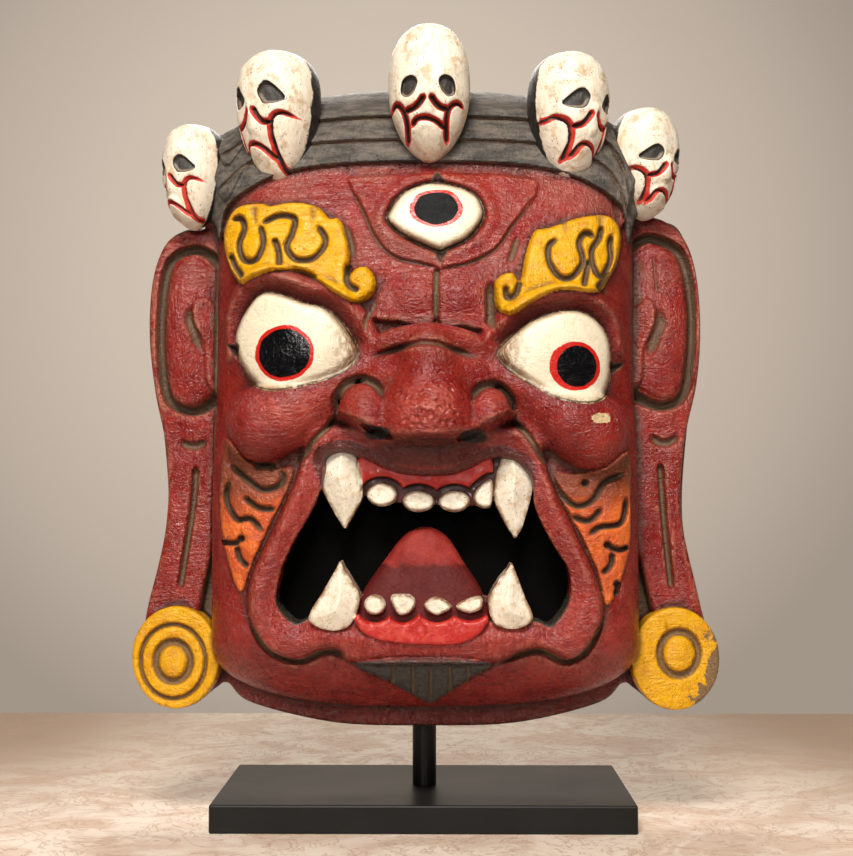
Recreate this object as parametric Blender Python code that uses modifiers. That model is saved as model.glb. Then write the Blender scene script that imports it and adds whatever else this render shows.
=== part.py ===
"""Carved wooden wrathful mask with a crown of five skulls, on a black steel display stand.

Sizes are in millimetres and are scaled to metres where an object is made. The stand's foot is
centred on the origin with its underside at z = 0, and the mask faces -Y.

A point on the mask is given as (across, out, up): across is +X, up is +Z, and out is how far the
point stands in front of the flat back of the mask.
"""
import math

import bmesh
import bpy
from mathutils import Euler, Matrix, Vector

MM = 0.001
GAP = 0.3                      # left between pieces that touch

# Stand
BASE_WIDTH, BASE_DEPTH, BASE_THICKNESS = 270, 140, 18
BASE_EDGE = 1.2
POST_RADIUS = 8
POST_BEND_START = 300          # height at which the post starts to lean into the hollow
BAR_RADIUS, BAR_HALF_LENGTH = 6, 65
BAR_OUT = 22                   # how far the bar stands in front of the mask's back
BAR_HEIGHT = 389               # under the roof of the hollow

# Mask
BACK_Y = -(POST_RADIUS + GAP)  # the back of the mask lies against the post
HEAD_HALF_WIDTH = 137.5
HEAD_CENTRE_X = 1
HEAD_TOP_CENTRE, HEAD_TOP_RISE = 416, 58       # the crown's arch springs here and rises this much
HEAD_BOTTOM_CENTRE, HEAD_BOTTOM_DROP = 120, 45
HEAD_MIDDLE = 262
HEAD_OUTLINE_POWER = 2.55
HEAD_OUT = 90
FACE_PROFILE_POWER = 3.5       # how squarely the face turns to its sides; the chin turns harder
CHIN_PROFILE_POWER = 5.5
FLANGE_OUT = 14
EAR_OUT = 30
BAND_RISE = 4
BROW_RISE = 8
FLAME_RISE = 5
BEARD_RISE = 8

HOLLOW_HALF_WIDTH, HOLLOW_HALF_HEIGHT, HOLLOW_OUT = 118, 150, 80
HOLLOW_MIDDLE = 250
HOLLOW_POWER = 4

CLOTH_OUT = 63                 # front face of the cloth
CLOTH_THICKNESS = 1.2
CLOTH_TOP = 262
CLOTH_EDGE_GAP = 1.2

VOXEL, FINE_VOXEL = 2.5, 2
MASK_TRIANGLES = 8600


# ---------------------------------------------------------------- scene and materials

def clear_scene():
    for item in list(bpy.data.objects):
        bpy.data.objects.remove(item, do_unlink=True)


def make_collection(name):
    collection = bpy.data.collections.new(name)
    bpy.context.scene.collection.children.link(collection)
    return collection


def paint(name, colour, roughness, metallic=0.0):
    material = bpy.data.materials.new(name)
    material.use_nodes = True
    shader = material.node_tree.nodes["Principled BSDF"]
    shader.inputs["Base Color"].default_value = (*colour, 1)
    shader.inputs["Roughness"].default_value = roughness
    shader.inputs["Metallic"].default_value = metallic
    material.diffuse_color = (*colour, 1)
    return material


def add_object(name, data, collection, material=None):
    item = bpy.data.objects.new(name, data)
    collection.objects.link(item)
    if material:
        data.materials.append(material)
    return item


def settled_mesh(item):
    """The object's mesh with its modifiers applied."""
    graph = bpy.context.evaluated_depsgraph_get()
    graph.update()
    return bpy.data.meshes.new_from_object(item.evaluated_get(graph))


def place(across, out, up):
    return Vector((across, BACK_Y - out, up)) * MM


# ---------------------------------------------------------------- rough shapes of the carving

def signed_power(value, power):
    return math.copysign(abs(value) ** power, value)


def head_edge(angle, grow=0.0):
    """A point on the head's outline: arched crown, straight sides, rounded chin."""
    across = (HEAD_HALF_WIDTH + grow) * signed_power(math.cos(angle), 2 / HEAD_OUTLINE_POWER)
    arch = abs(math.sin(angle)) ** (2 / HEAD_OUTLINE_POWER)
    if math.sin(angle) >= 0:
        return HEAD_CENTRE_X + across, HEAD_TOP_CENTRE + (HEAD_TOP_RISE + grow) * arch
    return HEAD_CENTRE_X + across, HEAD_BOTTOM_CENTRE - (HEAD_BOTTOM_DROP + grow) * arch


def forehead_slope(up):
    """The face leans back above the brows, to four fifths of its depth at the crown."""
    step = min(max((up - 330) / 140, 0), 1)
    return 1 - 0.2 * step * step * (3 - 2 * step)


def domed_block(edge, middle, out, power, segments=96, rings=24):
    """A block with a flat back whose front is a rounded dome.

    edge(angle) is a point on its outline, and power(angle) is how squarely it turns to the side.
    """
    shape = bmesh.new()
    bmesh.ops.create_uvsphere(shape, u_segments=segments, v_segments=2 * rings, radius=1)
    middle_x, middle_z = middle
    for vertex in shape.verts:
        x, y, z = vertex.co
        angle = math.atan2(y, x) if math.hypot(x, y) > 1e-6 else 0.0
        curl = 2 / power(angle)
        spread = math.hypot(x, y) ** curl
        rim_x, rim_z = edge(angle)
        up = middle_z + (rim_z - middle_z) * spread
        depth = out * max(z, 0) ** curl * forehead_slope(up)
        vertex.co = place(middle_x + (rim_x - middle_x) * spread, depth, up)
    bmesh.ops.recalc_face_normals(shape, faces=shape.faces)
    return shape


def bmesh_object(name, shape, collection, material=None):
    mesh = bpy.data.meshes.new(name)
    shape.to_mesh(mesh)
    shape.free()
    return add_object(name, mesh, collection, material)


def mesh_object(name, rough, collection):
    """A curve object made into a closed mesh of its own, which can cut and be cut."""
    mesh = settled_mesh(rough)
    mesh.transform(rough.matrix_world)
    bpy.data.objects.remove(rough)
    shape = bmesh.new()
    shape.from_mesh(mesh)
    bpy.data.meshes.remove(mesh)
    bmesh.ops.remove_doubles(shape, verts=shape.verts, dist=1e-6)
    return bmesh_object(name, shape, collection)


def smooth_spline(curve, points, closed, radii=None):
    spline = curve.splines.new("BEZIER")
    spline.bezier_points.add(len(points) - 1)
    spline.use_cyclic_u = closed
    spline.resolution_u = 6
    for index, (knot, point) in enumerate(zip(spline.bezier_points, points)):
        knot.co = point
        knot.handle_left_type = knot.handle_right_type = "AUTO"
        if radii:
            knot.radius = radii[index]
    return spline


class Carving:
    """One rough mesh of many overlapping shapes, which a voxel remesh later fuses into one."""

    def __init__(self, workshop):
        self.shape = bmesh.new()
        self.workshop = workshop

    def add_mesh(self, mesh, matrix=None):
        if matrix:
            mesh.transform(matrix)
        self.shape.from_mesh(mesh)
        bpy.data.meshes.remove(mesh)

    def add_object(self, item):
        self.add_mesh(settled_mesh(item), item.matrix_world.copy())
        bpy.data.objects.remove(item)

    def add_block(self, block):
        mesh = bpy.data.meshes.new("block")
        block.to_mesh(mesh)
        block.free()
        self.add_mesh(mesh)

    def ball(self, centre, radii, turn=0, lean=0, tip=0):
        """An ellipsoid. turn is about the upright, lean is in the plane of the face, tip nods it."""
        spin = Euler((math.radians(tip), math.radians(lean), math.radians(turn))).to_matrix().to_4x4()
        size = Matrix.Diagonal((*[radius * MM for radius in radii], 1))
        bmesh.ops.create_uvsphere(self.shape, u_segments=24, v_segments=16, radius=1,
                                  matrix=Matrix.Translation(place(*centre)) @ spin @ size)

    def tooth(self, root, tip, radius):
        """A pointed fang with a round root."""
        start, end = place(*root), place(*tip)
        spin = (end - start).to_track_quat("Z", "Y").to_matrix().to_4x4()
        length = (end - start).length
        middle = Matrix.Translation((start + end) / 2)
        bmesh.ops.create_cone(self.shape, cap_ends=True, segments=16, radius1=radius * MM,
                              radius2=1.2 * MM, depth=length, matrix=middle @ spin)
        self.ball(root, (radius, radius * 0.8, radius))

    def disc(self, centre, radii, thickness, turn):
        """A flat round plate facing forwards, turned a little to its side."""
        stand_up = Matrix.Rotation(math.pi / 2, 4, "X")
        size = Matrix.Diagonal((radii[0] * MM, 1, radii[1] * MM, 1))
        where = Matrix.Translation(place(*centre)) @ Matrix.Rotation(math.radians(turn), 4, "Z")
        bmesh.ops.create_cone(self.shape, cap_ends=True, segments=40, radius1=1, radius2=1,
                              depth=thickness * MM, matrix=where @ size @ stand_up)

    def cord(self, points, radius, closed=False, radii=None):
        """A rounded roll of wood through the points; radii scale it from point to point."""
        self.add_object(roll(points, radius, self.workshop, closed, radii))

    def slab(self, outline, low, high):
        """A flat plate with a smooth outline between two depths."""
        self.add_object(flat_slab(outline, low, high, self.workshop))

    def raised(self, outline, rise):
        """The patch of the head inside the outline, standing out by rise."""
        rough = flat_slab(outline, 25, HEAD_OUT + 30, self.workshop)
        slab = mesh_object("patch", rough, self.workshop)
        head = bmesh_object("grown_head", head_block(rise), self.workshop)
        cut = slab.modifiers.new("Keep inside", "BOOLEAN")
        cut.operation = "INTERSECT"
        cut.object = head
        self.add_mesh(settled_mesh(slab))
        bpy.data.objects.remove(slab)
        bpy.data.objects.remove(head)


def roll(points, radius, collection, closed=False, radii=None):
    curve = bpy.data.curves.new("roll", "CURVE")
    curve.dimensions = "3D"
    curve.bevel_depth = radius * MM
    curve.bevel_resolution = 4
    curve.use_fill_caps = True
    smooth_spline(curve, [place(*point) for point in points], closed, radii)
    return add_object("roll", curve, collection)


def flat_slab(outline, low, high, collection):
    curve = bpy.data.curves.new("slab", "CURVE")
    curve.dimensions = "2D"
    curve.fill_mode = "BOTH"
    curve.extrude = (high - low) / 2 * MM
    smooth_spline(curve, [Vector((x, z, 0)) * MM for x, z in outline], closed=True)
    item = add_object("slab", curve, collection)
    item.rotation_euler = (math.pi / 2, 0, 0)
    item.location = place(0, (low + high) / 2, 0)
    bpy.context.view_layer.update()
    return item


def head_profile_power(angle):
    return CHIN_PROFILE_POWER if math.sin(angle) < 0 else FACE_PROFILE_POWER


def head_block(grow=0.0):
    return domed_block(lambda angle: head_edge(angle, grow), (HEAD_CENTRE_X, HEAD_MIDDLE),
                       HEAD_OUT + grow, head_profile_power)


def hollow_edge(angle):
    across = HOLLOW_HALF_WIDTH * signed_power(math.cos(angle), 2 / HOLLOW_POWER)
    return across, HOLLOW_MIDDLE + HOLLOW_HALF_HEIGHT * signed_power(math.sin(angle), 2 / HOLLOW_POWER)


def hollow_block():
    """The space for the wearer's head, carried past the open back so that it cuts through."""
    shape = domed_block(hollow_edge, (0, HOLLOW_MIDDLE), HOLLOW_OUT, lambda angle: HOLLOW_POWER)
    for vertex in shape.verts:
        if vertex.co.y > (BACK_Y - 0.01) * MM:
            vertex.co.y += 6 * MM
    return shape


# ---------------------------------------------------------------- the carving, feature by feature

def arc(middle, radii, start, end, steps=5):
    """Points on part of an ellipse, from one angle to another in degrees."""
    turns = [math.radians(start + (end - start) * step / steps) for step in range(steps + 1)]
    return [(middle[0] + radii[0] * math.cos(turn), middle[1] + radii[1] * math.sin(turn))
            for turn in turns]


def both_sides(half, middle):
    """A half outline, drawn from the middle outwards, with its mirror image."""
    other = [(-x, z) for x, z in reversed(half) if x > 0]
    return [(middle + x, z) for x, z in [*half, *other]]


# One flank of the back plate, from under the chin up round the earring and the ear. The right
# ear's top stands a little higher than the left one's.
EARRING_EDGE = arc((162.5, 107), (32, 35), -140, 40)
PLATE_MIDDLE = 0.5
EAR_CREST_LOW, EAR_CREST_HIGH, EAR_LIFT = 380, 400, 6
FLANK = [(0, 60), (60, 62), (115, 75), (131, 88), *EARRING_EDGE, (172, 195), (176, 262),
         (184, 315), (180, 362), (170, 386), (148, 392), (122, 404), (0, 420)]
BACK_OUTLINE = [(x, z + EAR_LIFT if x > 0 and EAR_CREST_LOW < z < EAR_CREST_HIGH else z)
                for x, z in both_sides(FLANK, PLATE_MIDDLE)]

RIGHT_EAR = [
    (125, 392), (157, 393), (171, 381), (177, 362), (180, 315), (178, 286), (172, 263), (167, 238),
    (166, 213), (167, 190), (171, 163), (179, 132), (150, 128), (132, 160), (128, 280)]
LEFT_EAR = [
    (-125, 385), (-157, 387), (-170, 378), (-176, 362), (-179, 315), (-176, 286), (-171, 263),
    (-166, 238), (-165, 213), (-166, 190), (-171, 163), (-179, 132), (-150, 128), (-132, 160),
    (-128, 280)]

# The band's lower edge is an arch, flat over the forehead and falling fast at the temples.
BAND_HALF_WIDTH, BAND_EDGE_TOP, BAND_EDGE_DROP = 126, 426, 28
BAND = [(x, BAND_EDGE_TOP - BAND_EDGE_DROP * (x / BAND_HALF_WIDTH) ** 4)
        for x in range(-BAND_HALF_WIDTH, BAND_HALF_WIDTH + 1, 21)]
BAND += [(150, 392), (150, 500), (-150, 500), (-150, 398)]

LEFT_BROW = [
    (-124, 384), (-124, 396), (-108, 399), (-80, 400), (-64, 395), (-54, 372), (-47, 356),
    (-34, 349), (-36, 336), (-48, 334), (-62, 347), (-88, 357), (-104, 353), (-112, 349)]
RIGHT_BROW = [
    (121, 373), (121, 391), (104, 394), (84, 390), (66, 384), (58, 366), (52, 350), (43, 347),
    (38, 336), (46, 327), (62, 333), (84, 342), (106, 342), (112, 350)]

LEFT_FLAME = [
    (-128, 248), (-114, 240), (-96, 232), (-84, 228), (-88, 208), (-104, 176), (-112, 152),
    (-122, 170), (-132, 196), (-132, 228)]
RIGHT_FLAME = [
    (130, 246), (114, 238), (100, 230), (88, 226), (92, 206), (106, 176), (116, 148), (126, 168),
    (135, 196), (134, 228)]

BEARD = [(-38, 108), (-22, 96), (-6, 84), (5, 79), (16, 84), (30, 98), (43, 109), (4, 112)]

LIPS = [
    (-60, 237), (-40, 241), (-22, 235), (4, 229), (30, 235), (50, 240), (62, 236), (70, 220),
    (76, 203), (87, 180), (95, 162), (98, 146), (92, 130), (76, 125), (60, 126), (48, 119),
    (4, 118), (-40, 119), (-52, 125), (-70, 125), (-86, 130), (-95, 148), (-92, 166), (-83, 187),
    (-73, 208), (-67, 222)]

# The mouth's cut edge: two peaks under the nose, sides that spread, and low corners.
MOUTH_MIDDLE = 2.5
MOUTH = both_sides([(0, 226), (38, 236), (58, 228), (66, 205), (84, 160), (82, 141), (68, 135),
                    (40, 127), (0, 125)], MOUTH_MIDDLE)

# Each skull: centre of its dome, half width, half height, how far it is turned to its side.
SKULLS = [
    ((-149, 42, 432), 20.5, 23.5, -48),
    ((-91, 62, 465), 24.5, 29, -38),
    ((4, 72, 480), 27, 32.5, 0),
    ((92, 62, 464), 24.5, 28.5, 38),
    ((147, 42, 441), 21, 23.5, 48)]


def carve_ear(carving, outline, side, lift):
    carving.slab(outline, 0, EAR_OUT)
    rim = [(137, 381), (158, 383), (170, 370), (176, 340), (176, 310), (171, 280), (163, 258)]
    carving.cord([(side * x, EAR_OUT - 2, z + lift) for x, z in rim], 5)
    carving.ball((side * 152, EAR_OUT - 4, 318 + lift), (14, 9, 47))
    carving.ball((side * 143, EAR_OUT, 318 + lift), (6, 8, 26), lean=side * 8)


def carve_earring(carving, side, middle):
    turn = side * 8
    carving.disc((middle[0], 23, middle[1]), (31, 34), 31, turn)
    ring = [(middle[0] + 20 * math.cos(step * math.tau / 16), 37,
             middle[1] + 22 * math.sin(step * math.tau / 16)) for step in range(16)]
    carving.cord(ring, 3, closed=True)
    carving.ball((middle[0], 37, middle[1]), (8, 6, 8))


def carve_skull(carving, dome, half_width, half_height, turn):
    x, out, z = dome
    side = math.sin(math.radians(turn))
    scale = half_height / 32.5
    jaw_drop = 42 * scale
    carving.ball(dome, (half_width, 22 * scale, half_height), turn=turn)
    carving.ball((x + 4 * side, out + 6 * scale, z - 22 * scale), (20 * scale, 19 * scale, 20 * scale),
                 turn=turn)
    carving.ball((x + 5 * side, out + 5 * scale, z - jaw_drop), (14 * scale, 17 * scale, 17 * scale),
                 turn=turn)
    toward = -0.35 if abs(turn) > 40 else -0.1
    carving.ball((x * (1 + toward / 2), out - 20 * scale, z - 18 * scale),
                 (20 * scale, 18 * scale, 30 * scale), turn=turn)


def carve_eyes(carving):
    carving.ball((-77, 80, 306), (40, 29, 30.5), lean=8)
    carving.ball((81, 80, 296), (37, 29, 29), lean=6)
    carving.ball((9, 74, 388), (29, 16, 19))
    carving.cord([(-118, 84, 324), (-97, 96, 343), (-74, 100, 343), (-50, 100, 327), (-33, 96, 311)], 7)
    carving.cord([(47, 96, 311), (60, 100, 325), (84, 100, 335), (108, 94, 331), (121, 84, 312)], 7)


def carve_cheeks(carving):
    carving.cord([(-40, 100, 291), (-62, 100, 277), (-88, 92, 258), (-96, 90, 252)], 24,
                 radii=[0.45, 0.75, 1.1, 0.9])
    carving.cord([(49, 100, 287), (70, 100, 272), (95, 92, 254), (103, 90, 248)], 24,
                 radii=[0.45, 0.75, 1.1, 0.9])
    carving.ball((-96, 91, 255), (26, 25, 23))
    carving.ball((102, 91, 250), (26, 25, 23))


def carve_nose(carving):
    carving.ball((4, 110, 273), (31, 33, 28))
    carving.ball((4, 106, 292), (26, 26, 26))
    for side, x in ((-1, -28), (1, 37)):
        carving.ball((x, 106, 265), (20, 20, 17), lean=side * 10)
    carving.ball((4, 96, 311), (40, 20, 11))
    for x in (-11, 26):
        carving.ball((x, 84, 340), (18, 13, 17))


def carve_lips(carving):
    carving.cord([(x, 98, z) for x, z in LIPS], 12, closed=True)


def carve_teeth(carving):
    """Gums, small teeth, four fangs and the tongue, which all stand in the open mouth."""
    carving.cord([(-56, 94, 234), (-24, 96, 224), (4, 96, 220), (32, 96, 224), (60, 94, 232)], 8.5)
    carving.cord([(-66, 90, 133), (-30, 94, 134), (4, 96, 133), (38, 94, 134), (68, 90, 133)], 9)
    for x, z in ((-24.6, 214), (-1.8, 210), (19.6, 210), (38, 213)):
        carving.ball((x, 98, z), (9, 9, 7))
    for x, z in ((-29, 146), (-11, 146), (9, 146), (28, 146)):
        carving.ball((x, 98, z), (7.5, 8, 7))
    carving.tooth((-48.7, 100, 223), (-47.9, 102, 194), 11.5)
    carving.tooth((55.5, 100, 220), (56.4, 102, 187), 10.5)
    carving.tooth((-53, 94, 141), (-49.2, 98, 172), 13)
    carving.tooth((54, 94, 141), (52.9, 98, 172), 12.5)
    carving.ball((1, 82, 146), (35, 15, 46), tip=-8)


def carve_ear_cuts(cuts, side, lift):
    """The channel round the ear's shell, the small crescent below it and the long slit."""
    channel = [(136, 372), (149, 375), (162, 371), (170, 358), (172, 338), (172, 315), (171, 290),
               (167, 276), (158, 267), (148, 266), (138, 273)]
    cuts.cord([(side * x, EAR_OUT + 2, z + lift) for x, z in channel], 4)
    crescent = [(163, 250), (159, 245), (153, 243), (147, 245), (144, 250)]
    cuts.cord([(side * x, EAR_OUT, z + lift / 2) for x, z in crescent], 2.5)
    cuts.cord([(side * 153, EAR_OUT, 231), (side * 156, EAR_OUT, 190), (side * 161, EAR_OUT, 151)], 2.6)


def carve_sockets(cuts, dome, half_width, half_height, turn):
    """Eye sockets, nose and the down-turned mouth of one skull."""
    x, out, z = dome
    scale = half_height / 32.5
    yaw = math.radians(turn)

    def on_skull(across, forward, up):
        """A point given in the skull's own frame, which is turned to its side."""
        return (x + (across * math.cos(yaw) + forward * math.sin(yaw)) * scale,
                out + (forward * math.cos(yaw) - across * math.sin(yaw)) * scale, z + up * scale)

    for side in (-1, 1):
        cuts.ball(on_skull(side * 12.5, 22, -4), (5 * scale, 6 * scale, 6.5 * scale), turn=turn)
        cuts.cord([on_skull(side * 22, 17, -14), on_skull(side * 13, 23, -18),
                   on_skull(side * 12, 22, -34)], 2 * scale)
    cuts.cord([on_skull(-11, 21, -39), on_skull(-6, 25, -33), on_skull(0, 26, -31),
               on_skull(6, 25, -33), on_skull(11, 21, -39)], 2 * scale)


def cut_out(item, cutter):
    cut = item.modifiers.new("Cut", "BOOLEAN")
    cut.operation = "DIFFERENCE"
    cut.object = cutter


def fuse(item, voxel):
    remesh = item.modifiers.new("Fuse", "REMESH")
    remesh.mode = "VOXEL"
    remesh.voxel_size = voxel * MM


def mark_cutter(item):
    item.hide_render = True
    item.display_type = "WIRE"


def slab_cutter(name, outline, low, high, cutters):
    cutter = mesh_object(name, flat_slab(outline, low, high, cutters), cutters)
    mark_cutter(cutter)
    return cutter


def carving_object(name, carving, collection, cutter=False):
    item = bmesh_object(name, carving.shape, collection)
    if cutter:
        mark_cutter(item)
    return item


def make_mask(parts, cutters, material):
    body = Carving(cutters)
    body.add_block(head_block())
    body.slab(BACK_OUTLINE, 0, FLANGE_OUT)
    for side, outline, lift, earring in ((-1, LEFT_EAR, 0, (-160, 108)), (1, RIGHT_EAR, 5, (163, 107))):
        carve_ear(body, outline, side, lift)
        carve_earring(body, side, earring)
    body.raised(BAND, BAND_RISE)
    for outline in (LEFT_BROW, RIGHT_BROW):
        body.raised(outline, BROW_RISE)
    for outline in (LEFT_FLAME, RIGHT_FLAME):
        body.raised(outline, FLAME_RISE)
    body.raised(BEARD, BEARD_RISE)
    for skull in SKULLS:
        carve_skull(body, *skull)
    carve_eyes(body)
    carve_cheeks(body)
    carve_nose(body)
    carve_lips(body)
    rough = carving_object("rough_mask", body, cutters)
    fuse(rough, VOXEL)
    cut_out(rough, slab_cutter("mouth_cutter", MOUTH, 30, HEAD_OUT + 60, cutters))

    whole = Carving(cutters)
    whole.add_object(rough)
    carve_teeth(whole)
    mask = carving_object("mask", whole, parts)
    mask.data.materials.append(material)
    fuse(mask, VOXEL)

    cuts = Carving(cutters)
    for side, lift in ((-1, 0), (1, 5)):
        carve_ear_cuts(cuts, side, lift)
    for skull in SKULLS:
        carve_sockets(cuts, *skull)
    knives = carving_object("groove_cutter", cuts, cutters, cutter=True)
    fuse(knives, 1)
    cut_out(mask, knives)
    hollow = bmesh_object("hollow_cutter", hollow_block(), cutters)
    mark_cutter(hollow)
    cut_out(mask, hollow)
    fuse(mask, FINE_VOXEL)
    triangles = sum(len(face.vertices) - 2 for face in settled_mesh(mask).polygons)
    thin = mask.modifiers.new("Fewer triangles", "DECIMATE")
    thin.ratio = MASK_TRIANGLES / triangles


# ---------------------------------------------------------------- cloth and stand

def make_mouth_cloth(parts, material):
    """Black cloth stretched across the hollow behind the mouth and glued round its edge."""
    narrow = (1 - (CLOTH_OUT / HOLLOW_OUT) ** HOLLOW_POWER) ** (1 / HOLLOW_POWER)
    half_width = HOLLOW_HALF_WIDTH * narrow - CLOTH_EDGE_GAP
    half_height = HOLLOW_HALF_HEIGHT * narrow - CLOTH_EDGE_GAP
    steps = 24
    top = math.asin(((CLOTH_TOP - HOLLOW_MIDDLE) / half_height) ** (HOLLOW_POWER / 2))
    outline = []
    for step in range(steps + 1):
        angle = math.pi - top + (math.pi + 2 * top) * step / steps
        outline.append((half_width * signed_power(math.cos(angle), 2 / HOLLOW_POWER),
                        HOLLOW_MIDDLE + half_height * signed_power(math.sin(angle), 2 / HOLLOW_POWER)))
    shape = bmesh.new()
    front = shape.faces.new([shape.verts.new(place(x, CLOTH_OUT, z)) for x, z in outline])
    thick = bmesh.ops.extrude_face_region(shape, geom=[front])
    moved = [item for item in thick["geom"] if isinstance(item, bmesh.types.BMVert)]
    bmesh.ops.translate(shape, verts=moved, vec=(0, CLOTH_THICKNESS * MM, 0))
    bmesh.ops.recalc_face_normals(shape, faces=shape.faces)
    bmesh_object("mouth_cloth", shape, parts, material)


def make_stand_post(parts, cutters, material):
    """Round rod that leans forward into the hollow and ends in a cross-bar, which carries the mask."""
    bar_y = (BACK_Y - BAR_OUT) * MM
    rise = (BAR_HEIGHT - POST_BEND_START) * MM
    curve = bpy.data.curves.new("post", "CURVE")
    curve.dimensions = "3D"
    curve.bevel_depth = POST_RADIUS * MM
    curve.bevel_resolution = 10
    curve.use_fill_caps = True
    spline = curve.splines.new("BEZIER")
    spline.bezier_points.add(2)
    spline.resolution_u = 10
    route = [
        (0, 0, (BASE_THICKNESS + GAP) * MM, 100 * MM),
        (0, 0, POST_BEND_START * MM, 0.4 * rise),
        (0, bar_y, BAR_HEIGHT * MM, 0.4 * rise)]
    for knot, (x, y, z, reach) in zip(spline.bezier_points, route):
        knot.co = (x, y, z)
        knot.handle_left = (x, y, z - reach)
        knot.handle_right = (x, y, z + reach)
    post = mesh_object("stand_post", add_object("post", curve, cutters), parts)
    bmesh_bar = bmesh.new()
    across = Matrix.Translation((0, bar_y, BAR_HEIGHT * MM)) @ Matrix.Rotation(math.pi / 2, 4, "Y")
    bmesh.ops.create_cone(bmesh_bar, cap_ends=True, segments=24, radius1=BAR_RADIUS * MM,
                          radius2=BAR_RADIUS * MM, depth=2 * BAR_HALF_LENGTH * MM, matrix=across)
    bar = bmesh_object("cross_bar", bmesh_bar, cutters)
    mark_cutter(bar)
    join = post.modifiers.new("Welded bar", "BOOLEAN")
    join.operation = "UNION"
    join.object = bar
    post.data.materials.append(material)


def make_stand_base(parts, material):
    shape = bmesh.new()
    size = Matrix.Diagonal((BASE_WIDTH * MM, BASE_DEPTH * MM, BASE_THICKNESS * MM, 1))
    bmesh.ops.create_cube(shape, size=1, matrix=Matrix.Translation((0, 0, BASE_THICKNESS / 2 * MM)) @ size)
    base = bmesh_object("stand_base", shape, parts, material)
    soften = base.modifiers.new("Soft edges", "BEVEL")
    soften.width = BASE_EDGE * MM
    soften.segments = 2


clear_scene()
PARTS = make_collection("cham_mask")
CUTTERS = make_collection("cutters")
RED_LACQUER = paint("red_lacquer", (0.33, 0.03, 0.03), 0.4)
BLACK_CLOTH = paint("black_cloth", (0.01, 0.01, 0.01), 0.95)
BLACK_STEEL = paint("black_steel", (0.012, 0.012, 0.013), 0.35)
make_mask(PARTS, CUTTERS, RED_LACQUER)
make_mouth_cloth(PARTS, BLACK_CLOTH)
make_stand_post(PARTS, CUTTERS, BLACK_STEEL)
make_stand_base(PARTS, BLACK_STEEL)
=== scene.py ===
"""Looks of the carved and painted wrathful mask with its crown of five skulls, on its stand.

The mask is carved on grids of points: each grid holds how deep a point lies inside the wood, in
mm, and the surface where that is 0 becomes a mesh. A point on the mask is (across, up) on its face
or (across, up, out) in space, in mm: across is +X, up is +Z, and out is how far in front of the
mask's flat back it is.
"""
import math
from collections import namedtuple

import bpy
import numpy as np
from mathutils import Euler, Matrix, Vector


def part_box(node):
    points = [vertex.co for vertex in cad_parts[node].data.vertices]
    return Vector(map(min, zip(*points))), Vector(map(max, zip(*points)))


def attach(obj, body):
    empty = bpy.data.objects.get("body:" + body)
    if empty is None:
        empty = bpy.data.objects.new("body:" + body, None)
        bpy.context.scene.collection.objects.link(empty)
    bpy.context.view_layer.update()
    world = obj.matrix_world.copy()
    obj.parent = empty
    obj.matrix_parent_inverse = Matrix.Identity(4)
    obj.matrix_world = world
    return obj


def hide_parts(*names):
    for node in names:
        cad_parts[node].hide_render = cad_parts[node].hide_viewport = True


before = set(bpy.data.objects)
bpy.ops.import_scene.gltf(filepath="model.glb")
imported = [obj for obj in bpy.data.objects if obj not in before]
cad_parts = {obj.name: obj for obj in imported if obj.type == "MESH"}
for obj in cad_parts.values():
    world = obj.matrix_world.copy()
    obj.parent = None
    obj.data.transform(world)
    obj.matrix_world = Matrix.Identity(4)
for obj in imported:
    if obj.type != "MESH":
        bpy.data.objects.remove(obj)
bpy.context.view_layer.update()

MM = 0.001
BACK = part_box("mask")[1].y / MM

# How close a grid's points lie, across the mask, outwards from it, and in its smaller pieces, and
# the most triangles that each kind of piece keeps.
STEP, OUT_STEP = ((1.0, 1.25))
SMALL_STEP, TONGUE_STEP = ((0.8, 0.9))
MASK_TRIANGLES, SKULL_TRIANGLES, JAW_TRIANGLES, TONGUE_TRIANGLES = 190000, 36000, 60000, 24000


# ---------------------------------------------------------------- lines and grids

def smooth_line(points, closed=False, pace=1.5):
    """Points close together on a smooth curve through the given ones."""
    knots = np.array(points, float)
    if closed:
        knots = np.vstack([knots[-1], knots, knots[0], knots[1]])
    else:
        knots = np.vstack([2 * knots[0] - knots[1], knots, 2 * knots[-1] - knots[-2]])
    line = []
    for before, start, end, after in zip(knots, knots[1:], knots[2:], knots[3:]):
        count = max(1, int(np.linalg.norm((end - start)[:2]) / pace))
        t = np.arange(count)[:, None] / count
        line.append(0.5 * (2 * start + (end - before) * t
                           + (2 * before - 5 * start + 4 * end - after) * t ** 2
                           + (3 * start - before - 3 * end + after) * t ** 3))
    line.append(knots[-2][None])
    return np.vstack(line)


def soft_max(first, second, blend):
    """The larger of two depths, rounded over where they are within blend of each other."""
    if not blend:
        return np.maximum(first, second)
    near = np.maximum(blend - np.abs(first - second), 0) / blend
    return np.maximum(first, second) + near * near * blend / 4


def soft_min(first, second, blend):
    return -soft_max(-first, -second, blend)


def ease(value, start, end):
    """0 at start, 1 at end, smooth between."""
    part = np.clip((value - start) / (end - start), 0, 1)
    return part * part * (3 - 2 * part)


def round_edge(depth, width):
    """A quarter round from 0 at the edge to 1 at width inside it."""
    part = 1 - np.clip(depth / width, 0, 1)
    return np.sqrt(1 - part * part)


def between_four(values, i, j, u, v):
    """Values of a map read between its points: u and v are how far on from point i, j."""
    return ((1 - u) * (1 - v) * values[i, j] + u * (1 - v) * values[i + 1, j]
            + (1 - u) * v * values[i, j + 1] + u * v * values[i + 1, j + 1])


def edge_share(depth):
    """0.5 on an outline's edge, 1 from 5 mm inside it on, 0 from 5 mm outside it on."""
    return np.clip(depth / 10 + 0.5, 0, 1)


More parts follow.
